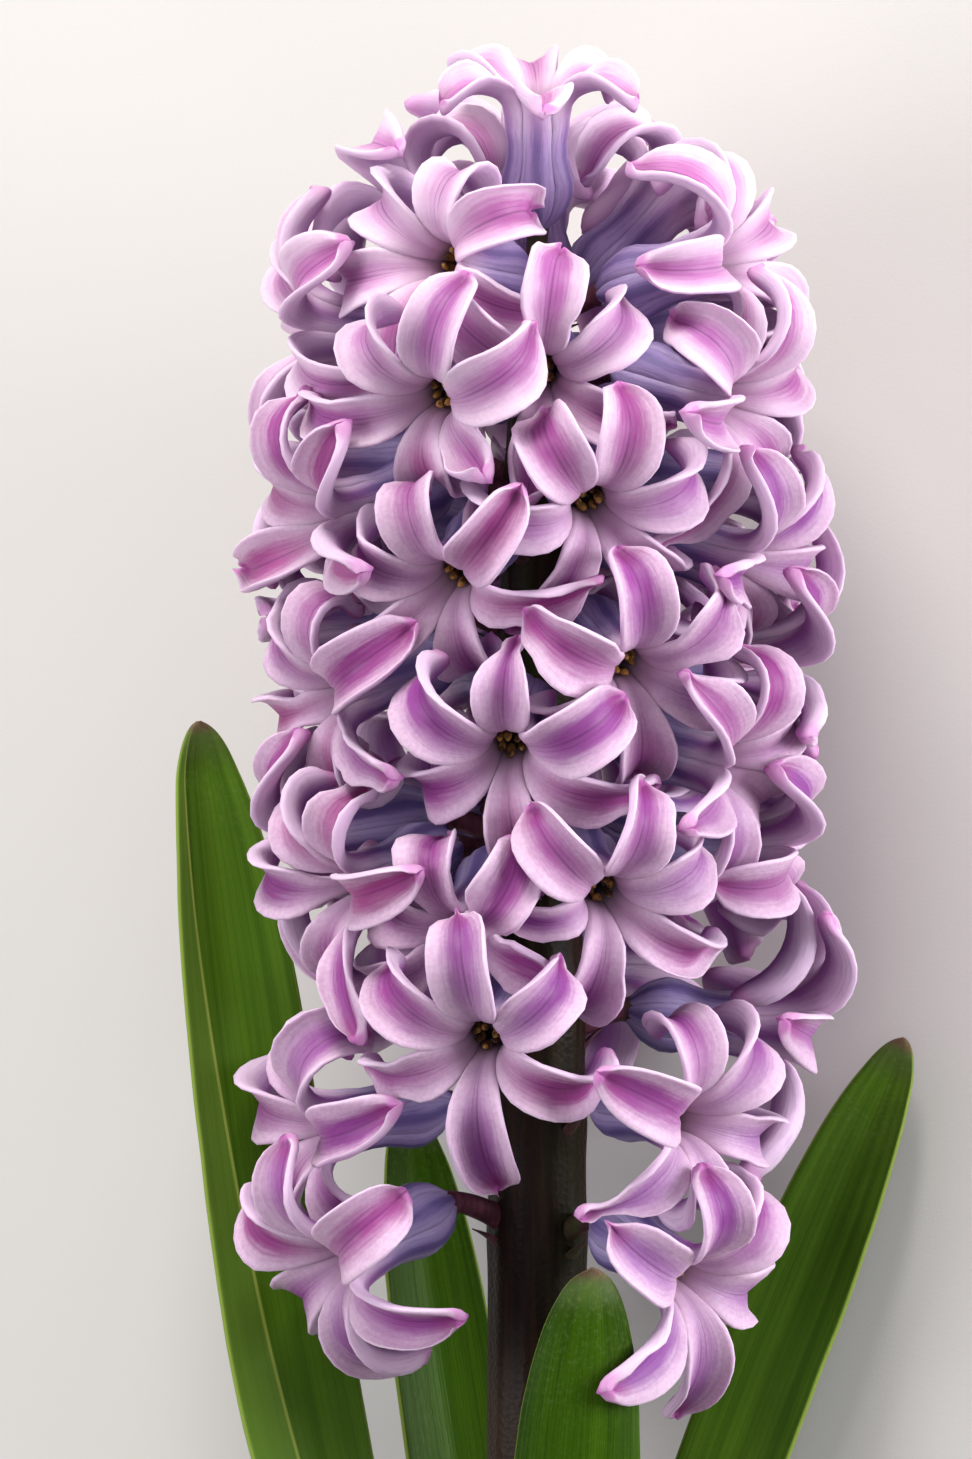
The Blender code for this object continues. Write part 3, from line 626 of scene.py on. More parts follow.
def petal_material():
    """Gives the eye the silky, striped lilac of the spike, and lets a little light through the tissue."""
    made, tree, shader = new_material("hyacinth_petal_tissue")
    add = partial(node, tree)
    along, side, face, chance, youth = (
        add("ShaderNodeAttribute", out="Fac", attribute_name=name) for name in PETAL_KEEP)
    reach = add("ABSOLUTE", side)
    # Veins about 0.5 mm apart that run along the petal. The cells of the skin, 0.05 mm wide, would not show,
    # so the speckle is drawn ten times as coarse. The cloud is the uneven colour of the tissue, in patches of
    # about 6 mm.
    grain = add(XYZ, add("MULTIPLY", side, 7.0), add("MULTIPLY", along, 3.0), add("MULTIPLY", chance, 9.0))
    veins = add(NOISE, at={"Vector": grain, "Scale": 1.3, "Detail": 4.0, "Roughness": 0.6})
    place = add("ShaderNodeTexCoord", out="Object")
    speckle = add(NOISE, at={"Vector": place, "Scale": 1.8 * PER_MM, "Detail": 2.0})
    cloud = add(NOISE, at={"Vector": place, "Scale": 0.16 * PER_MM, "Detail": 2.0})
    uneven = add("SUBTRACT", add("ADD", add("MULTIPLY", veins, 0.6), add("MULTIPLY", cloud, 0.4)), 0.5)
    # The distance from the middle of the petal, made to wander, so that no stripe has a straight edge
    wander = add("MULTIPLY_ADD", uneven, 0.9, reach)

    # Inner face: grey-mauve throat with a painted glow, lighter from deep in the tube towards the mouth, then
    # pale lilac with the magenta stripe, deeper on some petals
    pale = painted(tree, "#D7B9D0", ((speckle, 0.3, 0.7), 1.0, "#CDABC6"), (youth, 0.75, "#F0DAEA"))
    magenta = painted(tree, "#962C72", (chance, 1.0, "#823A90"), (youth, 0.7, "#C97FBC"))
    mood = add("FRACT", add("MULTIPLY", chance, 7.0))
    fading = add(RANGE, along, 0.25, 0.7, 0.7, 1.0, **SOFT)
    stripe = add(RANGE, along, -0.1, 0.42, 0.0, fading, **SOFT)
    stripe = add(RANGE, wander, 0.9, 0.1, 0.0, stripe, **SOFT)
    stripe = add("MINIMUM", add("MULTIPLY", stripe, add("MULTIPLY_ADD", mood, 0.4, 0.8)), 0.97)
    # Broken lines 0.75 mm apart beside the middle, and the crease down the middle itself
    lines = add(RANGE, veins, 0.35, 0.6, 0.0, 0.4, **SOFT)
    lines = add(RANGE, reach, 0.36, 0.2, 0.0, lines, **SOFT)
    lines = add(RANGE, add("PINGPONG", side, 0.075), 0.03, 0.0, 0.0, lines, **SOFT)
    crease = add(RANGE, along, 0.15, 0.4, 0.0, 0.45, **SOFT)
    crease = add(RANGE, reach, 0.05, 0.01, 0.0, crease, **SOFT)
    hood = add(RANGE, wander, 1.0, 0.4, 0.0, add("MULTIPLY_ADD", youth, -0.4, 0.7), **SOFT)
    inner = painted(
        tree, "#8B7090",
        # Painted glow: the throat turns lighter towards the mouth, standing in for light that shines through
        # the tube wall
        ((along, -0.6, 0.1), 1.0, "#C09FB9"),
        ((along, 0.0, 0.3), 1.0, pale),
        (stripe, 1.0, magenta),
        (add("MAXIMUM", lines, crease), 1.0, "#5E1C5C"),
        ((reach, 0.93, 1.0), 0.35, "#EBD6E6"),
        ((along, 0.74, 0.9), hood, "#8E3078"),
        ((along, 0.93, 0.97), 0.8, "#C070B2"),
    )

    # Outer face: slate-blue stripes on the tube, one broad and fine ones 1.7 mm apart, and a violet keel on
    # the free petal
    slate = painted(tree, "#AC9EC8", ((wander, 0.75, 0.1), 1.0, "#7A6CA4"), (youth, 0.6, "#B598C8"))
    keel = painted(tree, "#D8BCD6", ((wander, 0.75, 0.0), 1.0, "#985A9E"))
    fine = add(RANGE, along, 0.3, -0.2, 0.0, 0.28, **SOFT)
    fine = add(RANGE, add("PINGPONG", add("ADD", wander, 0.1), 0.17), 0.09, 0.0, 0.0, fine, **SOFT)
    broad = add(RANGE, along, 0.2, -0.2, 0.0, 0.55, **SOFT)
    broad = add(RANGE, wander, 0.34, 0.06, 0.0, broad, **SOFT)
    streak = add("MAXIMUM", add("MAXIMUM", fine, broad), add(RANGE, veins, 0.5, 0.68, 0.0, 0.22, **SOFT))
    outer = painted(
        tree, slate,
        ((along, -0.45, 0.15), 1.0, keel),
        (streak, 1.0, "#4B3C78"),
        ((reach, 0.93, 1.0), add(RANGE, along, -0.1, 0.3, 0.0, 0.4, **SOFT), "#DFC6DD"),
        ((along, 0.85, 0.97), 0.6, "#C26FB0"),
        (youth, add(RANGE, along, -0.3, 0.2, 0.0, 0.4, **SOFT), "#E6CBE2"),
    )

    height = add("ADD", add("MULTIPLY", veins, 0.7), add("MULTIPLY", speckle, 0.3))
    feed(tree, shader.inputs, {
        "Base Color": painted(
            tree, outer, ((face, -0.3, 0.3), 1.0, inner), (add("ABSOLUTE", uneven), 0.6, "#A87AA4")),
        "Roughness": add(RANGE, speckle, 0.0, 1.0, 0.42, 0.6),
        "IOR": 1.42,
        "Specular IOR Level": 0.45,
        "Subsurface Weight": 0.22,
        "Subsurface Radius": (1.0, 0.5, 0.9),
        "Subsurface Scale": 1.5 * METRES_PER_MM,
        "Normal": add(BUMP, at={"Strength": 0.3, "Distance": 0.3 * METRES_PER_MM, "Height": height}),
    })
    return made


PETAL = petal_material()
print("petal material:", len(PETAL.node_tree.nodes), "nodes")

# %% [markdown]
# ## The florets
#
# A hyacinth floret is six petals that are fused for their lower part into a tube, so each petal here runs
# the whole way: up the wall of the tube, then out and back from its mouth. Neighbouring margins overlap a
# little, which leaves the faint grooves that the real tube has. The upper part keeps the solid model's
# centre line, and adds what its few faces can't show: the full width, the hooded tip with its small knob,
# and margins that ripple.

# %% Sizes of a petal
# Each row of a table is a place, then the value there. Places on the tube are millimetres from its foot, and
# places on the petal are parts of its free length, with the tube below 0. A span is where a change happens.
TUBE_WALL = 1.3
TUBE_PROFILE = ((0.0, 1.3), (1.8, 3.8), (4.8, 5.1), (9.8, 3.65), (14.5, 3.9))
TUBE_BLUR = 0.9
TUBE_ROWS = np.array((0.0, 0.5, 1.2, 2.1, 3.2, 4.4, 5.8, 7.3, 9.0, 10.8, 12.6))
TUBE_OVERLAP = 1.07
PETAL_ROWS = np.array((
    0.0, 0.05, 0.1, 0.16, 0.22, 0.29, 0.36, 0.43, 0.5, 0.57, 0.64, 0.71, 0.78, 0.84, 0.89, 0.93, 0.96, 0.985,
    1.0))
# How much more tightly each petal is curved than the tube it is part of, so that it shows as a rib
TUBE_RIB = 0.36
RIB_SPANS = ((0.5, 3.0), (11.0, 14.0))
PETAL_SIDES = 24
# The outline of the free petal: half its width, the shares of it for the inner and the outer whorl, and how
# blunt its end is
PETAL_HALF = 5.0
WHORL_WIDTHS = (1.03, 0.96)
WIDTH_SPREAD = (0.9, 1.05)
PETAL_BASE_HALF = 2.0
PETAL_WIDEST = 0.5
PETAL_BLUNTNESS = (2.2, 0.64)
PETAL_KNOB_HALF = ((0.88, 1.2), (0.95, 1.25), (0.985, 1.0), (1.0, 0.25))
PETAL_NARROWEST = 0.12
# The free petal keeps to its sixth of the circle, less a thin gap
PETAL_SECTOR = math.tan(math.radians(29.5))
# Every other petal belongs to the inner whorl, so it starts a little nearer the axis
WHORL_STEP = 0.2
WHORL_SPANS = ((-0.35, 0.1), (0.4, 0.7))
TWIST_SPAN = (0.1, 0.9)
# The radius of the petal's hollow: a petal that recurves less is a boat, and one that recurves more is rolled
BOAT_CHANNEL = ((0.0, 3.4), (0.45, 4.3), (0.75, 3.9), (1.0, 1.5))
ROLLED_CHANNEL = ((0.0, 3.4), (0.45, 5.6), (0.75, 5.8), (1.0, 2.2))
ROLLED_RECURVES = ((40.0, 0.0), (120.0, 1.0))
PETAL_THICK = (
    (-1.0, TUBE_WALL), (-0.5, TUBE_WALL), (-0.12, 2.0), (0.04, 1.9), (0.3, 1.1), (0.7, 1.0), (0.9, 1.2),
    (0.96, 1.7), (0.985, 1.5), (1.0, 0.5))
PETAL_GROOVE = 0.45
GROOVE_SPAN = (-0.1, 0.3)
# The margins: how far they curl in, how unevenly, and how they ripple. A crowded petal curls less.
CURL = (0.1, 1.5)
CURL_SPAN = (0.15, 0.6)
CURL_TILT = (-1.2, 1.2)
CURL_TILT_SPAN = (0.25, 0.7)
CROWDED_CURL = 0.75
RIPPLE_LEAST = 0.4
RIPPLE_SPREAD = 2.6
RIPPLE_SPANS = ((0.1, 0.6), (0.85, 1.0))
# The florets on the right and the lowest, oldest ones are the bluest. The highest ones are young and pale.
HUE_MIDDLE = 0.16
HUE_SIDEWAYS = 0.16
HUE_OLD = 0.25
HUE_CHANCE = 0.6
OLD_HEIGHTS = (115, 185)
YOUNG_HEIGHTS = (195, 265)
YOUTH_SPREAD = 0.08
PETAL_SEED = 11
print("the widest petal is", round(2 * PETAL_HALF * WHORL_WIDTHS[0] * WIDTH_SPREAD[1], 1), "mm wide")

# %% Petal rows
def between(spans, value):
    """Rises from 0 to 1 over the first span and falls again over the second."""
    return ease(*spans[0], value) * (1.0 - ease(*spans[1], value))


def in_plane(radial, out, up):
    """Vectors in the upright plane through the axis: so far out along radial and so far up."""
    return np.outer(out, radial) + np.outer(up, AXIS)


def twisted(across, normal, turn):
    """The two directions of a blade, turned about its centre line."""
    sine, cosine = np.sin(turn)[:, None], np.cos(turn)[:, None]
    return cosine * across + sine * normal, cosine * normal - sine * across


def laid_blade(centre, across, normal, sizes, marks):
    """The rows of one blade, laid down. Sizes are in millimetres, and a single number is for all rows."""
    rows = {"centre": lay_points(centre), "across": across @ LIE_TURN.T, "normal": normal @ LIE_TURN.T}
    every = np.ones(len(centre))
    rows.update({key: value * every * METRES_PER_MM for key, value in sizes.items()})
    rows.update({key: value * every for key, value in marks.items()})
    return rows


def petal_path(floret, tepal, place, draw):
    """The rows of one petal, from the foot of the tube to the tip, laid down."""
    # The centre line and its turn: first up the wall of the tube, then along the free petal
    turn_steps = tepal_turn(tepal.flare, tepal.recurve)
    steps = (turn_steps, *tepal_line(turn_steps, tepal.length))
    turn, out, up = (np.interp(PETAL_ROWS, SPINE_STEPS, values) for values in steps)
    tube = soft_table(TUBE_PROFILE, TUBE_ROWS, TUBE_BLUR) - TUBE_WALL / 2
    turn = np.concatenate((np.arctan(np.gradient(tube, TUBE_ROWS)), turn))
    along = np.concatenate((TUBE_ROWS / TUBE_LENGTH - 1.0, PETAL_ROWS))
    free = np.maximum(along, 0.0)
    swing = math.tan(math.radians(tepal.swing))
    radial = np.array((math.cos(tepal.angle), math.sin(tepal.angle), 0.0))
    sideways = np.array((-math.sin(tepal.angle), math.cos(tepal.angle), 0.0))
    tangent = in_plane(radial, np.sin(turn), np.cos(turn))
    normal = in_plane(radial, -np.cos(turn), np.sin(turn))
    bend = np.arctan(2.0 * swing * free)[:, None]
    across = np.cos(bend) * sideways - np.sin(bend) * tangent
    across, normal = twisted(across, normal, np.radians(tepal.twist * ease(*TWIST_SPAN, along)))
    centre = in_plane(radial, np.concatenate((tube, out)), np.concatenate((TUBE_ROWS, up)))
    centre = centre + np.outer(swing * tepal.length * free**2, sideways)
    centre = centre + (WHORL_STEP * (-1) ** place * between(WHORL_SPANS, along))[:, None] * normal
    # The width: a share of the tube's girth, then the outline of the free petal, kept in its own sector
    past = np.clip((PETAL_ROWS - PETAL_WIDEST) / (1.0 - PETAL_WIDEST), 0.0, 1.0)
    widest = PETAL_HALF * WHORL_WIDTHS[place % 2] * draw.uniform(*WIDTH_SPREAD)
    half = PETAL_BASE_HALF + (widest - PETAL_BASE_HALF) * ease(0.0, PETAL_WIDEST, PETAL_ROWS)
    half = half * (1.0 - past ** PETAL_BLUNTNESS[0]) ** PETAL_BLUNTNESS[1]
    half = np.maximum(half, table(PETAL_KNOB_HALF, PETAL_ROWS))
    half = np.minimum(half, PETAL_SECTOR * np.hypot(*centre[len(tube):, :2].T))
    half = np.concatenate((TUBE_OVERLAP * math.pi / TEPALS * tube, np.maximum(half, PETAL_NARROWEST)))
    rolled = table(ROLLED_RECURVES, tepal.recurve)
    hollow = (1.0 - rolled) * table(BOAT_CHANNEL, PETAL_ROWS) + rolled * table(ROLLED_CHANNEL, PETAL_ROWS)
    crowded = 1.0 if tepal.is_free else CROWDED_CURL
    curl = draw.uniform(*CURL) * crowded * ease(*CURL_SPAN, along)
    curl_tilt = draw.uniform(*CURL_TILT) * crowded * ease(*CURL_TILT_SPAN, along)
    ripple = (RIPPLE_LEAST + RIPPLE_SPREAD * draw.random() ** 2) * between(RIPPLE_SPANS, along)
    hue = HUE_MIDDLE + HUE_SIDEWAYS * math.sin(math.radians(floret.angle))
    hue += HUE_OLD * (1.0 - ease(*OLD_HEIGHTS, floret.height))
    chance = min(hue + HUE_CHANCE * draw.random(), 1.0)
    youth = ease(*YOUNG_HEIGHTS, floret.height) + draw.uniform(-YOUTH_SPREAD, YOUTH_SPREAD)
    return laid_blade(
        centre @ floret.axes.T + floret.base, across @ floret.axes.T, normal @ floret.axes.T,
        {
            "half": half,
            "channel": np.concatenate((tube * (1.0 - TUBE_RIB * between(RIB_SPANS, TUBE_ROWS)), hollow)),
            "thick": table(PETAL_THICK, along),
            "curl": curl,
            "curl_tilt": curl_tilt,
            "ripple": ripple,
            "groove": PETAL_GROOVE * ease(*GROOVE_SPAN, along),
        },
        {"along": along, "chance": chance, "youth": youth},
    )


print(len(TUBE_ROWS) + len(PETAL_ROWS), "rows in each petal")

# %% [markdown]
# ## Petals give way
#
# In a dense spike the petals of neighbouring florets lie against each other and press each other's margins
# in. A cloth simulation could settle that, but it is slow and hard to steer. This step instead looks for
# rows whose margins come too near a petal of another floret, and makes the blade narrower and calmer there.

# %% Petals give way
ROOM = 1.5 * METRES_PER_MM
ROOM_SIDES = np.linspace(-1.0, 1.0, 9)
ROOM_ROUNDS = 3
NARROWEST = 0.55
# A row that is short of room takes its neighbours along: shares for the widest lack, and for the final blur
LACK_SPREAD = (0.25, 0.5, 0.25)
LACK_BLUR = (0.2, 0.6, 0.2)


def blade_points(path, sides):
    """Points on a blade's middle surface: one list for each row, at the given sides."""
    channel = path["channel"][:, None, None]
    turn = np.outer(path["half"] / path["channel"], sides)[..., None]
    across, normal = path["across"][:, None], path["normal"][:, None]
    lean = (path["curl"][:, None] + np.outer(path["curl_tilt"], sides)) * np.abs(sides) ** CURL_POWER
    section = channel * (np.sin(turn) * across + (1.0 - np.cos(turn)) * normal)
    facing = np.cos(turn) * normal - np.sin(turn) * across
    return path["centre"][:, None] + section + lean[..., None] * facing


def give_way(spike):
    """Narrows every petal where its margins are too near another floret. Returns how many rows it changed."""
    rows = [blade_points(path, ROOM_SIDES) for paths in spike for path in paths]
    cloud = np.concatenate(rows).reshape(-1, 3)
    in_each = len(cloud) // len(spike)
    tree = KDTree(len(cloud))
    for index, point in enumerate(cloud):
        tree.insert(point, index)
    tree.balance()
    changed = 0
    for number, paths in enumerate(spike):
        for path in paths:
            lack = np.zeros(len(path["half"]))
            for row, margins in enumerate(blade_points(path, np.array((-1.0, 1.0)))):
                near = [found for margin in margins for found in tree.find_range(margin, ROOM)]
                gaps = [gap for _, index, gap in near if index // in_each != number]
                lack[row] = ROOM - min(gaps, default=ROOM)
            changed += int((lack > 0).sum())
            lack = np.maximum(lack, np.convolve(lack, LACK_SPREAD, "same"))
            lack = np.convolve(lack, LACK_BLUR, "same")
            calm = np.clip(1.0 - lack / path["half"], NARROWEST, 1.0)
            for key in ("half", "curl", "curl_tilt", "ripple"):
                path[key] = path[key] * calm
    return changed


petal_draw = random.Random(PETAL_SEED)
SPIKE = [
    [petal_path(floret, tepal, place, petal_draw) for place, tepal in enumerate(floret.tepals)]
    for floret in FLORETS
]
print("rows that gave way:", [give_way(SPIKE) for _ in range(ROOM_ROUNDS)])

# %% [markdown]
# ## Growing the spike
#
# Now the guide lines of all six petals of a floret go through the blade tree together, and each floret
# becomes one piece that takes the place of one node of the solid model. One copied floret would be quicker,
# but no two florets of the real spike have the same petals.

# %% Grow the florets
triangles = 0
for number, paths in enumerate(SPIKE, start=1):
    piece = grow(f"petals_{number:02d}", paths, BLADE, PETAL_KEEP, Sides=PETAL_SIDES, Finish=PETAL)
    triangles += finish_piece(piece, "petal", f"floret_{number:02d}")
print(triangles, "triangles in the florets")

# %% [markdown]
# ## A rod along a path
#
# The stalk, the short stalks of the florets, the filaments and the pistils are all round and only differ in
# how their thickness changes along the way. A curve with a bevel would do for one, but could not carry
# ribs. A second tree sweeps a circle along each guide line, scaled by the radius stored on the line, and
# adds shallow ribs, because a living stalk is never a perfect cylinder.

# %% The rod tree
# Ribs have their full height from this radius on, and less on a thinner rod
RIB_FULL_RADIUS = 5.0 * METRES_PER_MM


def rod_tree():
    """Sweeps a circle along each guide line."""
    tree, given, result = new_tree("rod_along_path", (
        ("Sides", "NodeSocketInt", 12),
        ("Rib Count", "NodeSocketFloat", 0.0),
        ("Rib Height", "NodeSocketFloat", 0.0),
        ("Finish", "NodeSocketMaterial", None),
    ))
    add = partial(node, tree)
    radius, around = (add(NAMED, name, **NUMBER) for name in ("radius_here", "round"))
    lines = add("GeometryNodeMeshToCurve", given["Geometry"])
    lines = add("GeometryNodeSetCurveNormal", lines, mode="MINIMUM_TWIST")
    sweep = {"Curve": lines, "Profile Curve": marked_ring(tree, given["Sides"], 1.0), "Scale": radius}
    rod = add("GeometryNodeCurveToMesh", at={**sweep, "Fill Caps": True})
    rib = add("MULTIPLY", add("SINE", add("MULTIPLY", around, given["Rib Count"])), given["Rib Height"])
    rib = add("MULTIPLY", rib, add("MINIMUM", add("MULTIPLY", radius, 1.0 / RIB_FULL_RADIUS), 1.0))
    push = add(VECTOR, add("GeometryNodeInputNormal"), at={"Scale": rib}, operation="SCALE")
    rod = add("GeometryNodeSetPosition", rod, at={"Offset": push})
    return close_tree(tree, rod, given, result)


ROD = rod_tree()
print("rod tree:", len(ROD.nodes), "nodes")

# %% [markdown]
# ## Stamens and pistil
#
# Inside each throat sit six anthers, the pollen sacs, on filaments so short that the anthers seem glued to
# the wall of the tube. Ripe ones are dark brown and split open to show golden pollen. Below them stands the
# pistil, a swollen green ovary with a short style. They are small but give each throat its dark, grainy
# centre. Carved sacs would be lost down there, so a finish of two colours with a fine pattern does the
# work.

# %% Stamen and pistil materials
def anther_material():
    """Gives the eye dark dots with a golden, grainy side in the middle of each star."""
    made, tree, shader = new_material("ripe_anther_pollen")
    add = partial(node, tree)
    place = add("ShaderNodeTexCoord", out="Object")
    # Real pollen grains are about 0.05 mm and would not show, so they are drawn five times as coarse. Where
    # the sac has opened, the pollen shows in patches of about 1.4 mm.
    grains = add(CELLS, at={"Vector": place, "Scale": 4.0 * PER_MM})
    patches = add(NOISE, at={"Vector": place, "Scale": 0.7 * PER_MM, "Detail": 3.0})
    feed(tree, shader.inputs, {
        "Base Color": painted(tree, "#4A2E18", ((patches, 0.42, 0.6), 1.0, "#B98B45")),
        "Roughness": 0.8,
        "IOR": 1.45,
        "Normal": add(BUMP, at={"Strength": 0.8, "Distance": 0.1 * METRES_PER_MM, "Height": grains}),
    })
    return made


def pistil_material():
    """Gives the eye a soft green and violet ground behind the anthers, in clouds of about 2 mm."""
    made, tree, shader = new_material("pistil_tissue")
    place = node(tree, "ShaderNodeTexCoord", out="Object")
    cloud = node(tree, NOISE, at={"Vector": place, "Scale": 0.5 * PER_MM, "Detail": 3.0})
    tissue = painted(tree, "#8FA07A", (cloud, 1.0, "#9C86B8"))
    feed(tree, shader.inputs, {"Base Color": tissue, "Roughness": 0.45, "IOR": 1.4})
    return made


ANTHER = anther_material()
PISTIL = pistil_material()
print("throat materials:", ANTHER.name, PISTIL.name)

# %% [markdown]
# ## Filling the throats
#
# The anthers are all alike, so they are made the way one would scatter seeds: one small sac, put on 276
# points, each turned to its own direction and a little larger or smaller than the next. Filaments and
# pistils go through the rod tree. Real anthers are never in perfect step, so seeded draws move each one a
# little.

# %% Sizes in the throat
ANTHER_LENGTH = 3.6 * METRES_PER_MM
ANTHER_WIDTH = 1.15 * METRES_PER_MM
ANTHER_HEIGHT = 12.6
ANTHER_RADIUS = 1.45
# A sac is this much of its size at the least, and may be larger by the share after it
ANTHER_SIZES = (0.85, 0.3)
# How far the draws move an anther: round the axis in degrees, up, out, and its lean outward
TURN_SPREAD = (-9, 9)
HEIGHT_SPREAD = (-0.7, 0.5)
OUT_SPREAD = (-0.15, 0.1)
LEAN_SPREAD = (-0.25, 0.1)
# Points of a filament: how far from the axis, and how far below the middle of the anther
FILAMENT_FOOT = ((2.2, 5.0), (1.9, 3.2))
FILAMENT_RADII = (0.3, 0.25, 0.2)
FILAMENT_SIDES = 6
PISTIL_SIDES = 10
# The pistil's height in the tube, and its radius there
PISTIL_PROFILE = (
    (1.2, 0.3), (2.0, 1.5), (3.6, 2.1), (5.4, 1.6), (6.6, 0.7), (8.6, 0.45), (9.6, 0.55), (10.0, 0.15))
STAMEN_SEED = 5
print("the widest part of a pistil is", 2 * max(radius for _, radius in PISTIL_PROFILE), "mm wide")

# %% Stamens and pistils in every floret
def anther_tree():
    """One small sac on each point, turned to its direction and sized by its chance value."""
    tree, given, result = new_tree("anthers_on_points", (
        ("Length", "NodeSocketFloat", ANTHER_LENGTH),
        ("Width", "NodeSocketFloat", ANTHER_WIDTH),
        ("Finish", "NodeSocketMaterial", None),
    ))
    add = partial(node, tree)
    direction = add(NAMED, "direction", data_type="FLOAT_VECTOR")
    sac = add("GeometryNodeMeshUVSphere", at={"Segments": 8, "Rings": 6, "Radius": 0.5})
    turn = add("FunctionNodeAlignRotationToVector", at={"Vector": direction}, axis="Z")
    grown = add("MULTIPLY_ADD", add(NAMED, "chance", **NUMBER), ANTHER_SIZES[1], ANTHER_SIZES[0])
    size = add(XYZ, given["Width"], given["Width"], given["Length"])
    size = add(VECTOR, size, at={"Scale": grown}, operation="SCALE")
    place = {"Instance": sac, "Rotation": turn, "Scale": size}
    sacs = add("GeometryNodeInstanceOnPoints", given["Geometry"], at=place)
    return close_tree(tree, sacs, given, result)


def in_floret(floret, points):
    """Points in a floret's own directions, laid down."""
    return lay_points(points @ floret.axes.T + floret.base)


def throat_guides():
    """The place and direction of each anther, the line of each filament and the line of each pistil."""
    draw = random.Random(STAMEN_SEED)
    sacs = []
    filaments = []
    pistils = []
    heights, radii = np.array(PISTIL_PROFILE).T
    for floret in FLORETS:
        for place in range(TEPALS):
            angle = math.radians(floret.roll + 360 / TEPALS * place + draw.uniform(*TURN_SPREAD))
            height = ANTHER_HEIGHT + draw.uniform(*HEIGHT_SPREAD)
            radius = ANTHER_RADIUS + draw.uniform(*OUT_SPREAD)
            spoke = np.array((math.cos(angle), math.sin(angle), 0.0))
            lean = AXIS + draw.uniform(*LEAN_SPREAD) * spoke
            middle = radius * spoke + height * AXIS
            sacs.append({
                "centre": in_floret(floret, middle[None]),
                "direction": (lean @ floret.axes.T @ LIE_TURN.T)[None],
                "chance": np.array([draw.random()]),
            })
            foot = [out * spoke + (height - drop) * AXIS for out, drop in FILAMENT_FOOT]
            filaments.append({
                "centre": in_floret(floret, np.array((*foot, middle))),
                "radius_here": np.array(FILAMENT_RADII) * METRES_PER_MM,
            })
        line = np.outer(heights, AXIS)
        pistils.append({"centre": in_floret(floret, line), "radius_here": radii * METRES_PER_MM})
    return sacs, filaments, pistils


SAC_TREE = anther_tree()
SACS, FILAMENTS, PISTILS = throat_guides()
throat = (
    grow("anthers", SACS, SAC_TREE, ("chance",), Length=ANTHER_LENGTH, Width=ANTHER_WIDTH, Finish=ANTHER),
    grow("filaments", FILAMENTS, ROD, (), Sides=FILAMENT_SIDES, Finish=PISTIL),
    grow("pistils", PISTILS, ROD, (), Sides=PISTIL_SIDES, Finish=PISTIL),
)
print([finish_piece(piece, "petal") for piece in throat], "triangles in the throats")

# %% [markdown]
# ## The leaves' finish
#
# A hyacinth's strap leaves are thick and green, with a tip that often browns. The parallel veins of a bulb
# plant show as fine lines along the blade, and the margin is a thin paler line. The wax on them gives a soft,
# broken shine, and near the tip its bloom is painted paler, partly as painted glints. As on the petals, the
# pattern is worked out from the blade's own values rather than painted, so that the veins run true from the
# foot to the tip of every leaf.

# %% Leaf material
LEAF_KEEP = ("along", "side", "chance", "tip", "fresh", "crease")


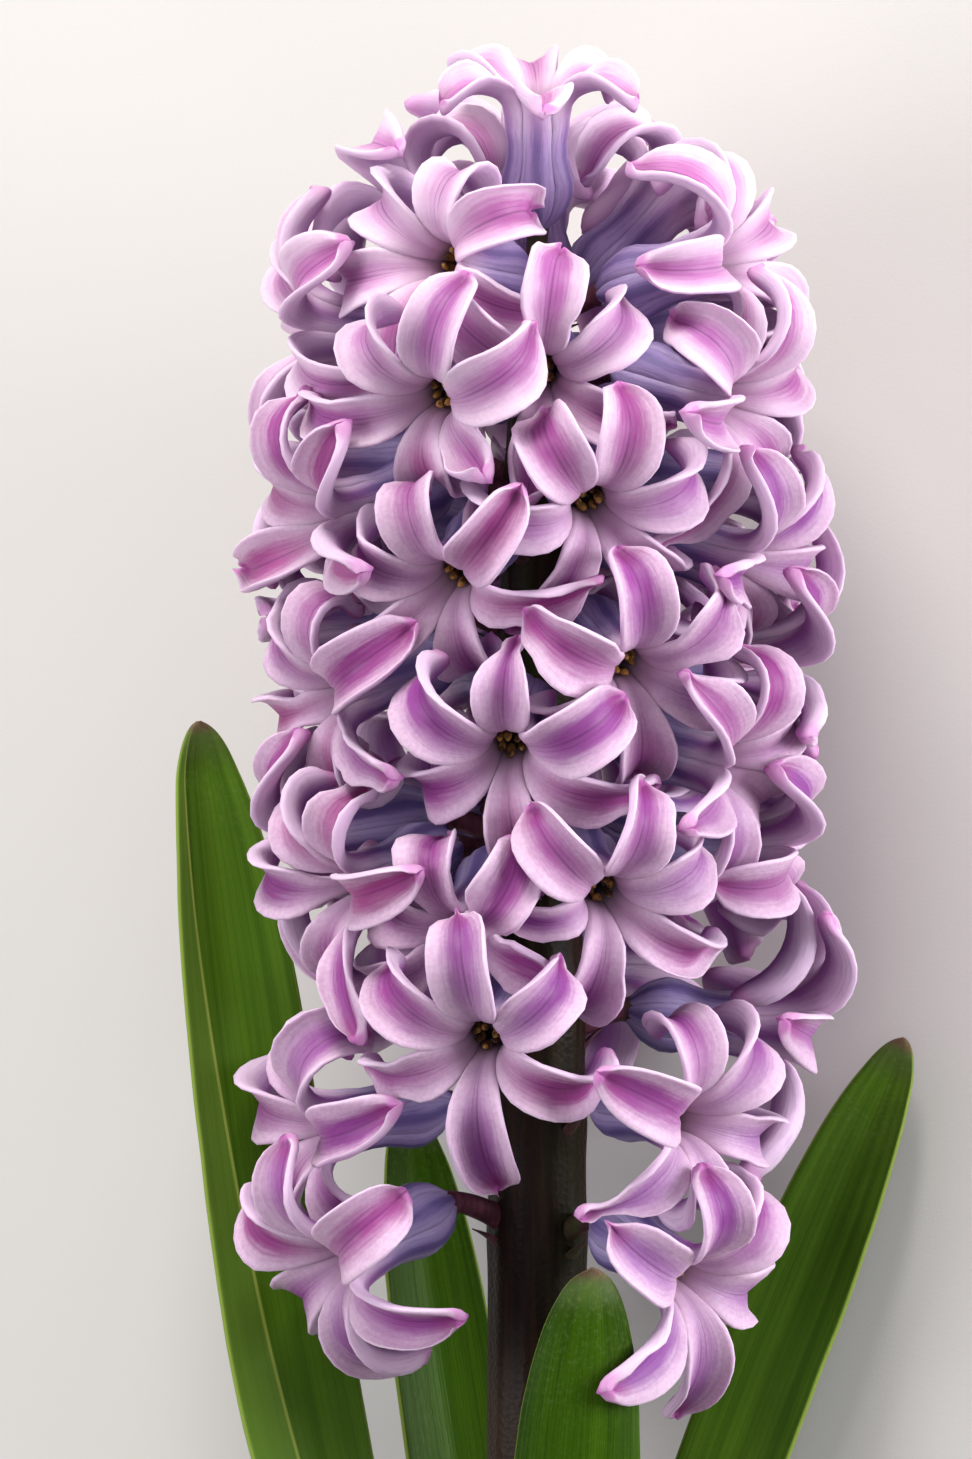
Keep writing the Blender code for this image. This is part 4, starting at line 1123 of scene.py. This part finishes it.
def leaf_material():
    """Gives the eye a waxy green with lengthwise lines, pale foot and margins, and a brown tip."""
    made, tree, shader = new_material("hyacinth_leaf_tissue")
    add = partial(node, tree)
    along, side, chance, tip, fresh, crease = (
        add("ShaderNodeAttribute", out="Fac", attribute_name=name) for name in LEAF_KEEP)
    reach = add("ABSOLUTE", side)
    # Fibres about 0.25 mm apart and bands of about 2 mm, both long, so they follow the leaf and not space
    grain = add(XYZ, add("MULTIPLY", side, 22.0), add("MULTIPLY", along, 5.0), add("MULTIPLY", chance, 9.0))
    fibres = add(NOISE, at={"Vector": grain, "Scale": 1.5, "Detail": 5.0, "Roughness": 0.65})
    broad = add(XYZ, add("MULTIPLY", side, 3.0), along, chance)
    bands = add(NOISE, at={"Vector": broad, "Scale": 1.4, "Detail": 2.0})
    # Wax lies in scales of 0.01 mm that would not show, so it is drawn as a bloom with grains of 0.7 mm. The
    # cloud is the leaf's uneven green, in patches of about 20 mm.
    place = add("ShaderNodeTexCoord", out="Object")
    wax = add(NOISE, at={"Vector": place, "Scale": 1.5 * PER_MM, "Detail": 3.0, "Roughness": 0.7})
    cloud = add(NOISE, at={"Vector": place, "Scale": 0.045 * PER_MM, "Detail": 3.0})
    # A vein every eighth of half the width, or about 1 mm
    vein = add("PINGPONG", add("ADD", side, 0.03), 0.0625)
    vein = add(RANGE, vein, 0.02, 0.0, 0.0, 1.0, **SOFT)
    # Which side of the painted highlight line a point lies on, for the line and the painted sheen beyond it
    past_painted_crease = add("SUBTRACT", side, crease)
    # How far from the tip, in millimetres, made ragged by the cloud
    ragged = add("MULTIPLY_ADD", cloud, 2.5, tip)
    green = (bands, 0.3, 0.7)
    base = painted(
        tree, painted(tree, "#1A3400", (green, 1.0, "#2A4900")),
        (fresh, 1.0, painted(tree, "#3E5F12", (green, 1.0, "#587C20"))),
        ((reach, 0.95, 0.15), 0.24, "#4B760C"),
        ((fibres, 0.35, 0.7), 0.22, "#587C14"),
        ((cloud, 0.45, 0.75), 0.25, "#1E360C"),
        (vein, 0.16, "#1B3010"),
        # A pale line is painted down the blade as a painted highlight where a fold's margin would catch the
        # light, and the blade beyond it is painted paler as a painted sheen
        ((past_painted_crease, 0.0, 0.05), 0.5, "#739838"),
        ((add("ABSOLUTE", past_painted_crease), 0.045, 0.01), 0.85, "#9FB04F"),
        # The pale foot, the margin, the two rings of the dried tip, and the wax bloom, heavier near the tip,
        # where its pale specks are partly painted glints of the waxy shine
        ((along, 0.22, 0.0), 0.8, "#B9C487"),
        ((reach, 0.965, 0.995), 0.6, "#8FA046"),
        ((ragged, 8.0, 2.5), 0.45, "#5C6640"),
        ((ragged, 3.4, 1.6), 0.85, "#664A40"),
        ((wax, 0.48, 0.72), add(RANGE, tip, 30.0, 0.0, 0.02, 0.15, **SOFT), "#87995E"),
    )
    height = add("ADD", add("MULTIPLY", fibres, 0.6), add("MULTIPLY", wax, 0.4))
    height = add("SUBTRACT", height, add("MULTIPLY", vein, 0.25))
    feed(tree, shader.inputs, {
        "Base Color": base,
        "Roughness": add(RANGE, wax, 0.3, 0.7, 0.3, 0.52),
        "IOR": 1.45,
        "Specular IOR Level": 0.09,
        "Subsurface Weight": 0.12,
        "Subsurface Radius": (0.3, 1.0, 0.1),
        "Subsurface Scale": 1.5 * METRES_PER_MM,
        "Normal": add(BUMP, at={"Strength": 0.25, "Distance": 0.3 * METRES_PER_MM, "Height": height}),
    })
    return made


LEAF = leaf_material()
print("leaf material:", len(LEAF.node_tree.nodes), "nodes")

# %% [markdown]
# ## The leaves
#
# Each leaf sheathes the stalk at its foot, opens into a channel and ends in a blunt hood. It could be bent
# from a flat strip, but the blade tree already knows how to grow a hollow organ, so the leaves use it too.
# They follow the solid model's own centre lines, with rows set close together near the tip, where the
# outline turns quickly.

# %% Sizes of the leaves
# Name, angle round the stalk, length, lean at the foot and at the tip, drift, twist, half width; then how
# fresh its green is, and where its crease, a painted highlight line with painted sheen beyond it, runs at the
# foot and at the tip (beyond 1 there is none)
LEAVES = (
    ("leaf_front", 7, 119, 13, 14, 3, 0, 8.6, 0.0, (2.0, 2.0)),
    ("leaf_right", 97, 150, 11, 23, 10, 62, 7.4, 0.72, (2.0, 2.0)),
    ("leaf_back", 187, 136, 9, 10, 14, 10, 7.2, 0.1, (2.0, 2.0)),
    ("leaf_left", 277, 187, 17.5, 7, -14, -74, 8.8, 0.8, (-0.1, 0.8)),
)
LEAF_SIDES = 40
# At 1 the section would be an ellipse, and below 1 it is fuller
LEAF_FULLNESS = 0.6
# Parts of the length: fine steps for the centre line, and rows that crowd together towards the tip
LEAF_STEPS = np.linspace(0.0, 1.0, 201)
LEAF_ROWS = 1.0 - (1.0 - np.linspace(0.0, 1.0, 90)) ** 1.7
LEAF_FOOT_HEIGHT = 3.0
LEAF_FOOT_RADIUS = 6.9075
LEAF_FOOT_HALF = LEAF_FOOT_RADIUS * math.radians(41.0)
LEAF_CHANNEL = ((0.0, LEAF_FOOT_RADIUS), (0.08, LEAF_FOOT_RADIUS + 0.4), (0.5, 15.0), (0.85, 9.0), (1.0, 4.0))
CHANNEL_BLUR = 0.03
# Parts of the length over which each change comes
FOOT_LEAN_SPAN = (0.03, 0.16)
TIP_LEAN_SPAN = (0.25, 0.75)
DRIFT_SPAN = (0.05, 1.2)
LEAF_TWIST_SPAN = (0.1, 0.6)
WIDENING_SPAN = (0.05, 0.45)
CREASE_SPAN = (0.3, 1.0)
# The blunt end: where it begins, the two powers of its outline, and the least half width
LEAF_END = 0.7
LEAF_BLUNTNESS = (2.6, 0.55)
LEAF_NARROWEST = 0.35
# Thickness at the foot, and what the blade loses along its length and again in the blunt end
LEAF_THICK = 2.0
LEAF_THINNING = 0.35
END_THINNING = 0.45
END_THINNING_POWER = 6
# The hooded tip: how far the blade goes back near it, and how far its very end comes forward
TIP_BACK = 0.4
TIP_BACK_SPAN = (0.9, 1.0)
TIP_HOOD = 1.1
TIP_HOOD_SPAN = (0.96, 1.0)
# The margins' curl, tilt and ripple, and the groove down the middle
LEAF_CURL = -0.3
LEAF_TILT = (-0.3, 0.3)
LEAF_CURL_SPAN = (0.2, 0.6)
LEAF_RIPPLE = 0.5
LEAF_RIPPLE_SPAN = (0.15, 0.5)
LEAF_RIPPLE_SCALE = 9.0
LEAF_GROOVE = 0.35
LEAF_GROOVE_SPANS = ((0.1, 0.3), (0.9, 1.0))
LEAF_SEED = 2
print("leaves:", {name: f"{length} mm" for name, _, length, *_ in LEAVES})

# %% Leaves
def leaf_path(angle, length, lean_foot, lean_tip, drift, twist, half, fresh, crease, draw):
    """The rows of one leaf, from its clasping foot to its hooded tip, laid down."""
    along = LEAF_ROWS
    lean = lean_foot * ease(*FOOT_LEAN_SPAN, LEAF_STEPS)
    lean = np.radians(lean + (lean_tip - lean_foot) * ease(*TIP_LEAN_SPAN, LEAF_STEPS))
    step = length / (len(LEAF_STEPS) - 1)
    out = LEAF_FOOT_RADIUS + travelled(np.sin(lean), step)
    up = LEAF_FOOT_HEIGHT + travelled(np.cos(lean), step)
    lean, out, up = (np.interp(along, LEAF_STEPS, values) for values in (lean, out, up))
    thick = LEAF_THICK * (1.0 - LEAF_THINNING * along)
    radial = outward(angle)
    sideways = np.cross(AXIS, radial)
    normal = in_plane(radial, -np.cos(lean), np.sin(lean))
    across, normal = twisted(sideways, normal, np.radians(twist * ease(*LEAF_TWIST_SPAN, along)))
    centre = in_plane(radial, out, up) + np.outer(drift * ease(*DRIFT_SPAN, along), sideways)
    back = thick / 2 + TIP_BACK * ease(*TIP_BACK_SPAN, along) - TIP_HOOD * ease(*TIP_HOOD_SPAN, along)
    past = np.clip((along - LEAF_END) / (1.0 - LEAF_END), 0.0, 1.0)
    width = LEAF_FOOT_HALF + (half - LEAF_FOOT_HALF) * ease(*WIDENING_SPAN, along)
    width = np.maximum(width * (1.0 - past ** LEAF_BLUNTNESS[0]) ** LEAF_BLUNTNESS[1], LEAF_NARROWEST)
    return laid_blade(
        centre - back[:, None] * normal, across, normal,
        {
            "half": width,
            "channel": soft_table(LEAF_CHANNEL, along, CHANNEL_BLUR) + thick / 2,
            "thick": thick * (1.0 - END_THINNING * past**END_THINNING_POWER),
            "curl": LEAF_CURL * ease(*LEAF_CURL_SPAN, along),
            "curl_tilt": draw.uniform(*LEAF_TILT) * ease(*LEAF_CURL_SPAN, along),
            "ripple": LEAF_RIPPLE * ease(*LEAF_RIPPLE_SPAN, along),
            "groove": LEAF_GROOVE * between(LEAF_GROOVE_SPANS, along),
        },
        {
            "along": along,
            "tip": (1.0 - along) * length,
            "fresh": fresh,
            "crease": np.interp(along, CREASE_SPAN, crease),
            "chance": draw.random(),
        },
    )


leaf_draw = random.Random(LEAF_SEED)
for name, *form in LEAVES:
    leaf = grow("blade_of_" + name, [leaf_path(*form, leaf_draw)], BLADE, LEAF_KEEP, Sides=LEAF_SIDES,
                Fullness=LEAF_FULLNESS, RippleScale=LEAF_RIPPLE_SCALE, Finish=LEAF)
    print(name, finish_piece(leaf, "leaf", name), "triangles")

# %% [markdown]
# ## The stalk's finish
#
# The flower stalk, or scape, is fleshy and, in dark hyacinths, nearly black with brown and olive streaks.
# The short stalks of the florets are maroon. The cut foot shows the pale, wet tissue inside, dotted with
# the bundles that carried the sap. One finish in two sets of colours does for both, with the streaks
# stretched along the stalk.

# %% Stalk materials
STREAK_TURN = tuple(LIE.to_euler())
STREAK_STRETCH = (1.0, 1.0, 16.0)


def stalk_material(name, dark, light, olive):
    """Gives the eye a dark, moist skin with fine streaks, and a pale dotted face where the stalk is cut."""
    made, tree, shader = new_material(name)
    add = partial(node, tree)
    place = add("ShaderNodeTexCoord", out="Object")
    turned = add("ShaderNodeMapping", at={"Vector": place, "Rotation": STREAK_TURN, "Scale": STREAK_STRETCH},
                 vector_type="TEXTURE")
    # Streaks about 1 mm wide and patches of about 6 mm. Real pores, 0.03 mm wide, would not show, so they are
    # drawn as cells of 0.7 mm.
    streaks = add(NOISE, at={"Vector": turned, "Scale": 0.9 * PER_MM, "Detail": 5.0, "Roughness": 0.6})
    patches = add(NOISE, at={"Vector": turned, "Scale": 0.16 * PER_MM, "Detail": 3.0})
    pores = add(CELLS, at={"Vector": place, "Scale": 1.5 * PER_MM})
    # On the cut, the bundles are about 1.6 mm apart
    cut = add("ShaderNodeAttribute", out="Fac", attribute_name="cut")
    bundles = add(CELLS, at={"Vector": place, "Scale": 0.62 * PER_MM})
    base = painted(
        tree, dark,
        ((streaks, 0.35, 0.7), 1.0, light),
        ((patches, 0.5, 0.72), 1.0, olive),
        ((cut, 0.4, 0.6), 1.0, painted(tree, "#C9D3A2", ((bundles, 0.28, 0.18), 1.0, "#7F9457"))),
    )
    height = add("MULTIPLY_ADD", streaks, 0.7, pores)
    feed(tree, shader.inputs, {
        "Base Color": base,
        "Roughness": add(RANGE, streaks, 0.0, 1.0, 0.38, 0.6),
        "IOR": 1.42,
        "Specular IOR Level": 0.2,
        "Normal": add(BUMP, at={"Strength": 0.3, "Distance": 0.3 * METRES_PER_MM, "Height": height}),
    })
    return made


SCAPE = stalk_material("hyacinth_scape_skin", "#1A0F07", "#32200F", "#262C10")
PEDICEL = stalk_material("pedicel_skin", "#4A2631", "#6B3A48", "#3E4522")
print("stalk materials:", SCAPE.name, PEDICEL.name)

# %% [markdown]
# ## The stalk, short stalks and bracts
#
# Each floret hangs on a short stalk of its own, with a small papery scale, the bract, below it. The main
# stalk swells a little where a short one leaves it. Round parts go through the rod tree and the scales
# through the blade tree. Guide lines that start inside the skin of the main stalk hide the joins, so
# nothing has to be welded.

# %% Sizes of the stalk, short stalks and bracts
# Height and radius along the main stalk: its body, the rounded rim of the cut, and the closed top
SCAPE_PROFILE = ((0, 6.3), (40, 6.4), (90, 6.3), (140, 6.0), (190, 5.0), (222, 3.8), (240, 2.4))
SCAPE_HEIGHTS = np.arange(1.0, 240.5, 1.5)
SCAPE_BLUR = 6.0
CUT_ROWS = ((0.0, 0.3), (0.01, 2.2), (0.02, 4.0), (0.03, 5.3), (0.05, 5.9), (0.35, 6.22))
CUT_HEIGHT = 0.1
CROWN_ROWS = ((241.2, 2.0), (242.0, 1.2), (242.3, 0.4))
SCAPE_SIDES = 60
SCAPE_RIBS = {"RibCount": 11.0, "RibHeight": 0.09 * METRES_PER_MM}
# How much the main stalk swells round each short one, and how far along it
SWELL = 0.12
SWELL_REACH = 3.0
# A short stalk: where it starts, how it bends, where it ends on the floret's axis, and its radius on the way
PEDICEL_RISE = 3.0
PEDICEL_HIGHEST = 238.0
PEDICEL_DEPTH = 0.55
PEDICEL_BEND = -2.2
PEDICEL_SEAT = 0.35
PEDICEL_STEPS = np.linspace(0.0, 1.0, 12)
PEDICEL_RADIUS = ((0.0, 1.9), (0.25, 1.5), (0.7, 1.35), (1.0, 1.75))
PEDICEL_BLUR = 0.05
PEDICEL_SIDES = 14
PEDICEL_RIBS = {"RibCount": 5.0, "RibHeight": 0.04 * METRES_PER_MM}
# A bract: its length, lean in degrees, and how far below the short stalk and inside the skin it starts
BRACT_STEPS = np.linspace(0.0, 1.0, 10)
BRACT_LENGTH = 5.0
BRACT_LENGTHS = (0.7, 1.1)
BRACT_LEAN = (25, 50)
BRACT_BEND = 25
BRACT_SKIN_DROP = 2.5
BRACT_DROP = 2.6
BRACT_DEPTH = 0.3
BRACT_HALF = 1.4
BRACT_POINTEDNESS = (2, 0.8)
BRACT_NARROWEST = 0.06
BRACT_CHANNEL = 1.7
BRACT_THICK = 0.3
BRACT_THINNING = 0.5
BRACT_RIPPLE = 0.3
BRACT_SIDES = 12
BRACT_SEED = 9
print("the stalk is", 2 * max(radius for _, radius in SCAPE_PROFILE), "mm thick")

# %% Stalk, short stalks and bracts
def pedicel_root(floret):
    """Where a short stalk leaves the main one."""
    height = min(floret.base[2] - PEDICEL_RISE, PEDICEL_HIGHEST)
    return PEDICEL_DEPTH * table(SCAPE_PROFILE, height) * outward(floret.angle) + height * AXIS


def scape_path():
    """The line of the main stalk, a little thicker wherever a short one leaves it."""
    radii = soft_table(SCAPE_PROFILE, SCAPE_HEIGHTS, SCAPE_BLUR)
    for floret in FLORETS:
        radii += SWELL * np.exp(-(((SCAPE_HEIGHTS - pedicel_root(floret)[2]) / SWELL_REACH) ** 2))
    heights, radii = np.array((*CUT_ROWS, *zip(SCAPE_HEIGHTS, radii), *CROWN_ROWS)).T
    return {
        "centre": lay_points(np.outer(heights, AXIS)),
        "radius_here": radii * METRES_PER_MM,
        "cut": np.where(heights < CUT_HEIGHT, 1.0, 0.0),
    }


def pedicel_path(floret):
    """The curved line of one short stalk, from inside the main one into the foot of the tube."""
    part = PEDICEL_STEPS[:, None]
    seat = floret.base + PEDICEL_SEAT * floret.forward
    bend = floret.base + PEDICEL_BEND * floret.forward
    centre = (1 - part) ** 2 * pedicel_root(floret) + 2 * part * (1 - part) * bend + part**2 * seat
    radii = soft_table(PEDICEL_RADIUS, PEDICEL_STEPS, PEDICEL_BLUR)
    return {"centre": lay_points(centre), "radius_here": radii * METRES_PER_MM}


def bract_path(floret, draw):
    """A small pointed scale under a short stalk, starting on the skin of the main one."""
    along = BRACT_STEPS
    height = pedicel_root(floret)[2]
    radial = outward(floret.angle)
    lean = np.radians(draw.uniform(*BRACT_LEAN) + BRACT_BEND * along)
    half = BRACT_HALF * (1.0 - along ** BRACT_POINTEDNESS[0]) ** BRACT_POINTEDNESS[1]
    step = BRACT_LENGTH * draw.uniform(*BRACT_LENGTHS) / (len(along) - 1)
    skin = table(SCAPE_PROFILE, height - BRACT_SKIN_DROP)
    start = (skin - BRACT_DEPTH) * radial + (height - BRACT_DROP) * AXIS
    return laid_blade(
        start + in_plane(radial, travelled(np.sin(lean), step), travelled(np.cos(lean), step)),
        np.tile(np.cross(AXIS, radial), (len(along), 1)),
        in_plane(radial, -np.cos(lean), np.sin(lean)),
        {
            "half": np.maximum(half, BRACT_NARROWEST),
            "channel": BRACT_CHANNEL,
            "thick": BRACT_THICK * (1.0 - BRACT_THINNING * along),
            "curl": 0.0,
            "curl_tilt": 0.0,
            "ripple": BRACT_RIPPLE,
            "groove": 0.0,
        },
        {"along": along, "chance": draw.random()},
    )


scape = grow("scape_skin", [scape_path()], ROD, ("cut",), Sides=SCAPE_SIDES, Finish=SCAPE, **SCAPE_RIBS)
print("scape", finish_piece(scape, "scape", "scape"), "triangles")
bract_draw = random.Random(BRACT_SEED)
pedicel_paths = [pedicel_path(floret) for floret in FLORETS]
pedicels = grow("pedicels", pedicel_paths, ROD, (), Sides=PEDICEL_SIDES, Finish=PEDICEL, **PEDICEL_RIBS)
bract_paths = [bract_path(floret, bract_draw) for floret in FLORETS]
bracts = grow("bracts", bract_paths, BLADE, (), Sides=BRACT_SIDES, Finish=PEDICEL)
print([finish_piece(piece, "scape") for piece in (pedicels, bracts)], "triangles in short stalks and bracts")

# %% [markdown]
# ## The table
#
# A plain pale table lets the flower be the only colour. A single flat face would do, but its matte paint is
# not perfectly even: a faint cloudiness and a very fine grain keep the shadow from looking printed.

# %% Table
TABLE_HALF = 3.0


def table_material():
    """Gives the eye a quiet, slightly cloudy ground that takes a soft shadow."""
    made, tree, shader = new_material("matt_table_paint")
    place = node(tree, "ShaderNodeTexCoord", out="Object")
    # Clouds of about 170 mm, and a grain of 0.4 mm, about as fine as the render can show
    cloud = node(tree, NOISE, at={"Vector": place, "Scale": 0.006 * PER_MM, "Detail": 4.0})
    grain = node(tree, NOISE, at={"Vector": place, "Scale": 2.5 * PER_MM, "Detail": 2.0})
    feed(tree, shader.inputs, {
        "Base Color": painted(tree, "#C4C1BC", (cloud, 1.0, "#CDCAC5")),
        "Roughness": 0.75,
        "Normal": node(tree, BUMP, at={"Strength": 0.15, "Distance": 0.1 * METRES_PER_MM, "Height": grain}),
    })
    return made


corners = [(TABLE_HALF * x, TABLE_HALF * y, 0) for x, y in ((-1, -1), (1, -1), (1, 1), (-1, 1))]
floor_mesh = bpy.data.meshes.new("table_top")
floor_mesh.from_pydata(corners, [], [(0, 1, 2, 3)])
floor_mesh.materials.append(table_material())
floor = bpy.data.objects.new("table_top", floor_mesh)
SCENE.collection.objects.link(floor)
floor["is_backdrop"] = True
print("table", tuple(floor.dimensions))

# %% [markdown]
# ## Light
#
# The flower is lit softly, mostly from its tip end and from its right, so the upper side of each petal
# glows and the throats fall into shade. A picture of a room could light it too, but lamps can be placed
# where the shadows need them. Two broad lamps do most of the work, weaker ones open the shadows on the left
# and in front, and the dim surroundings only keep the darkest gaps from going black.

# %% Lamps and surroundings
# Name, place and aim on the standing plant in millimetres, width in metres, power in watts, tint
LAMPS = (
    ("key", (-180, -400, 1030), (0, 0, 170), 0.4, 9.1, "#FFFDF9"),
    ("side", (780, -330, 330), (0, 0, 150), 0.5, 10.6, "#FBF9FF"),
    ("other_side", (-750, -420, 200), (0, 0, 140), 0.5, 4.9, "#FBF9FF"),
    ("front", (100, -1300, 60), (0, 0, 150), 0.8, 1.8, "#FFFFFF"),
)
WORLD_TINT = "#E8ECF2"
WORLD_STRENGTH = 0.25

for name, place, aim, size, power, tint in LAMPS:
    data = bpy.data.lights.new(name, "AREA")
    data.energy = power
    data.size = size
    data.color = colour(tint)[:3]
    lamp = bpy.data.objects.new(name, data)
    SCENE.collection.objects.link(lamp)
    place, aim = Vector(lay_points(place)), Vector(lay_points(aim))
    turn = (aim - place).to_track_quat("-Z", "Y").to_matrix().to_4x4()
    lamp.matrix_world = Matrix.Translation(place) @ turn
world = bpy.data.worlds.new("studio")
world.use_nodes = True
background = world.node_tree.nodes["Background"]
feed(world.node_tree, background.inputs, {"Color": colour(WORLD_TINT), "Strength": WORLD_STRENGTH})
SCENE.world = world
SCENE.view_settings.view_transform = "Standard"

# %% [markdown]
# ## Camera
#
# A close lens would make the front florets look larger than the others, so a long one looks on from a good
# distance. The camera is placed for the standing plant and laid down with it, so it looks down on the table
# from the plant's front.

# %% Camera
MM_PER_PIXEL = 1 / 8.0
PICTURE = (972, 1459)
STALK_PIXEL = (537, 50)
STALK_TOP = 270.0
VIEW_DISTANCE = 1600.0
SENSOR = 36.0
FARTHEST = 20.0
camera = bpy.data.objects.new("camera", bpy.data.cameras.new("camera"))
SCENE.collection.objects.link(camera)
SCENE.camera = camera
camera.data.sensor_fit = "VERTICAL"
camera.data.sensor_height = SENSOR
camera.data.lens = SENSOR * VIEW_DISTANCE / (PICTURE[1] * MM_PER_PIXEL)
camera.data.clip_end = FARTHEST
across = (PICTURE[0] / 2 - STALK_PIXEL[0]) * MM_PER_PIXEL
height = STALK_TOP - (PICTURE[1] / 2 - STALK_PIXEL[1]) * MM_PER_PIXEL
view = LIE @ Matrix.Rotation(math.pi / 2, 4, "X")
view.translation = Vector(lay_points((across, -VIEW_DISTANCE, height)))
camera.matrix_world = view
print("camera at", tuple(round(value, 3) for value in view.translation), "lens", round(camera.data.lens, 1))

# %% [markdown]
# ## Sizes
#
# The finished plant must still fit the box of the solid model, so both boxes are written down before the
# end.

# %% Sizes
visual_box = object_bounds()
for name, box in (("solid model", cad_box), ("finished plant", visual_box)):
    print(name, [round(float(high - low) * 1000, 1) for low, high in zip(*box)], "mm")
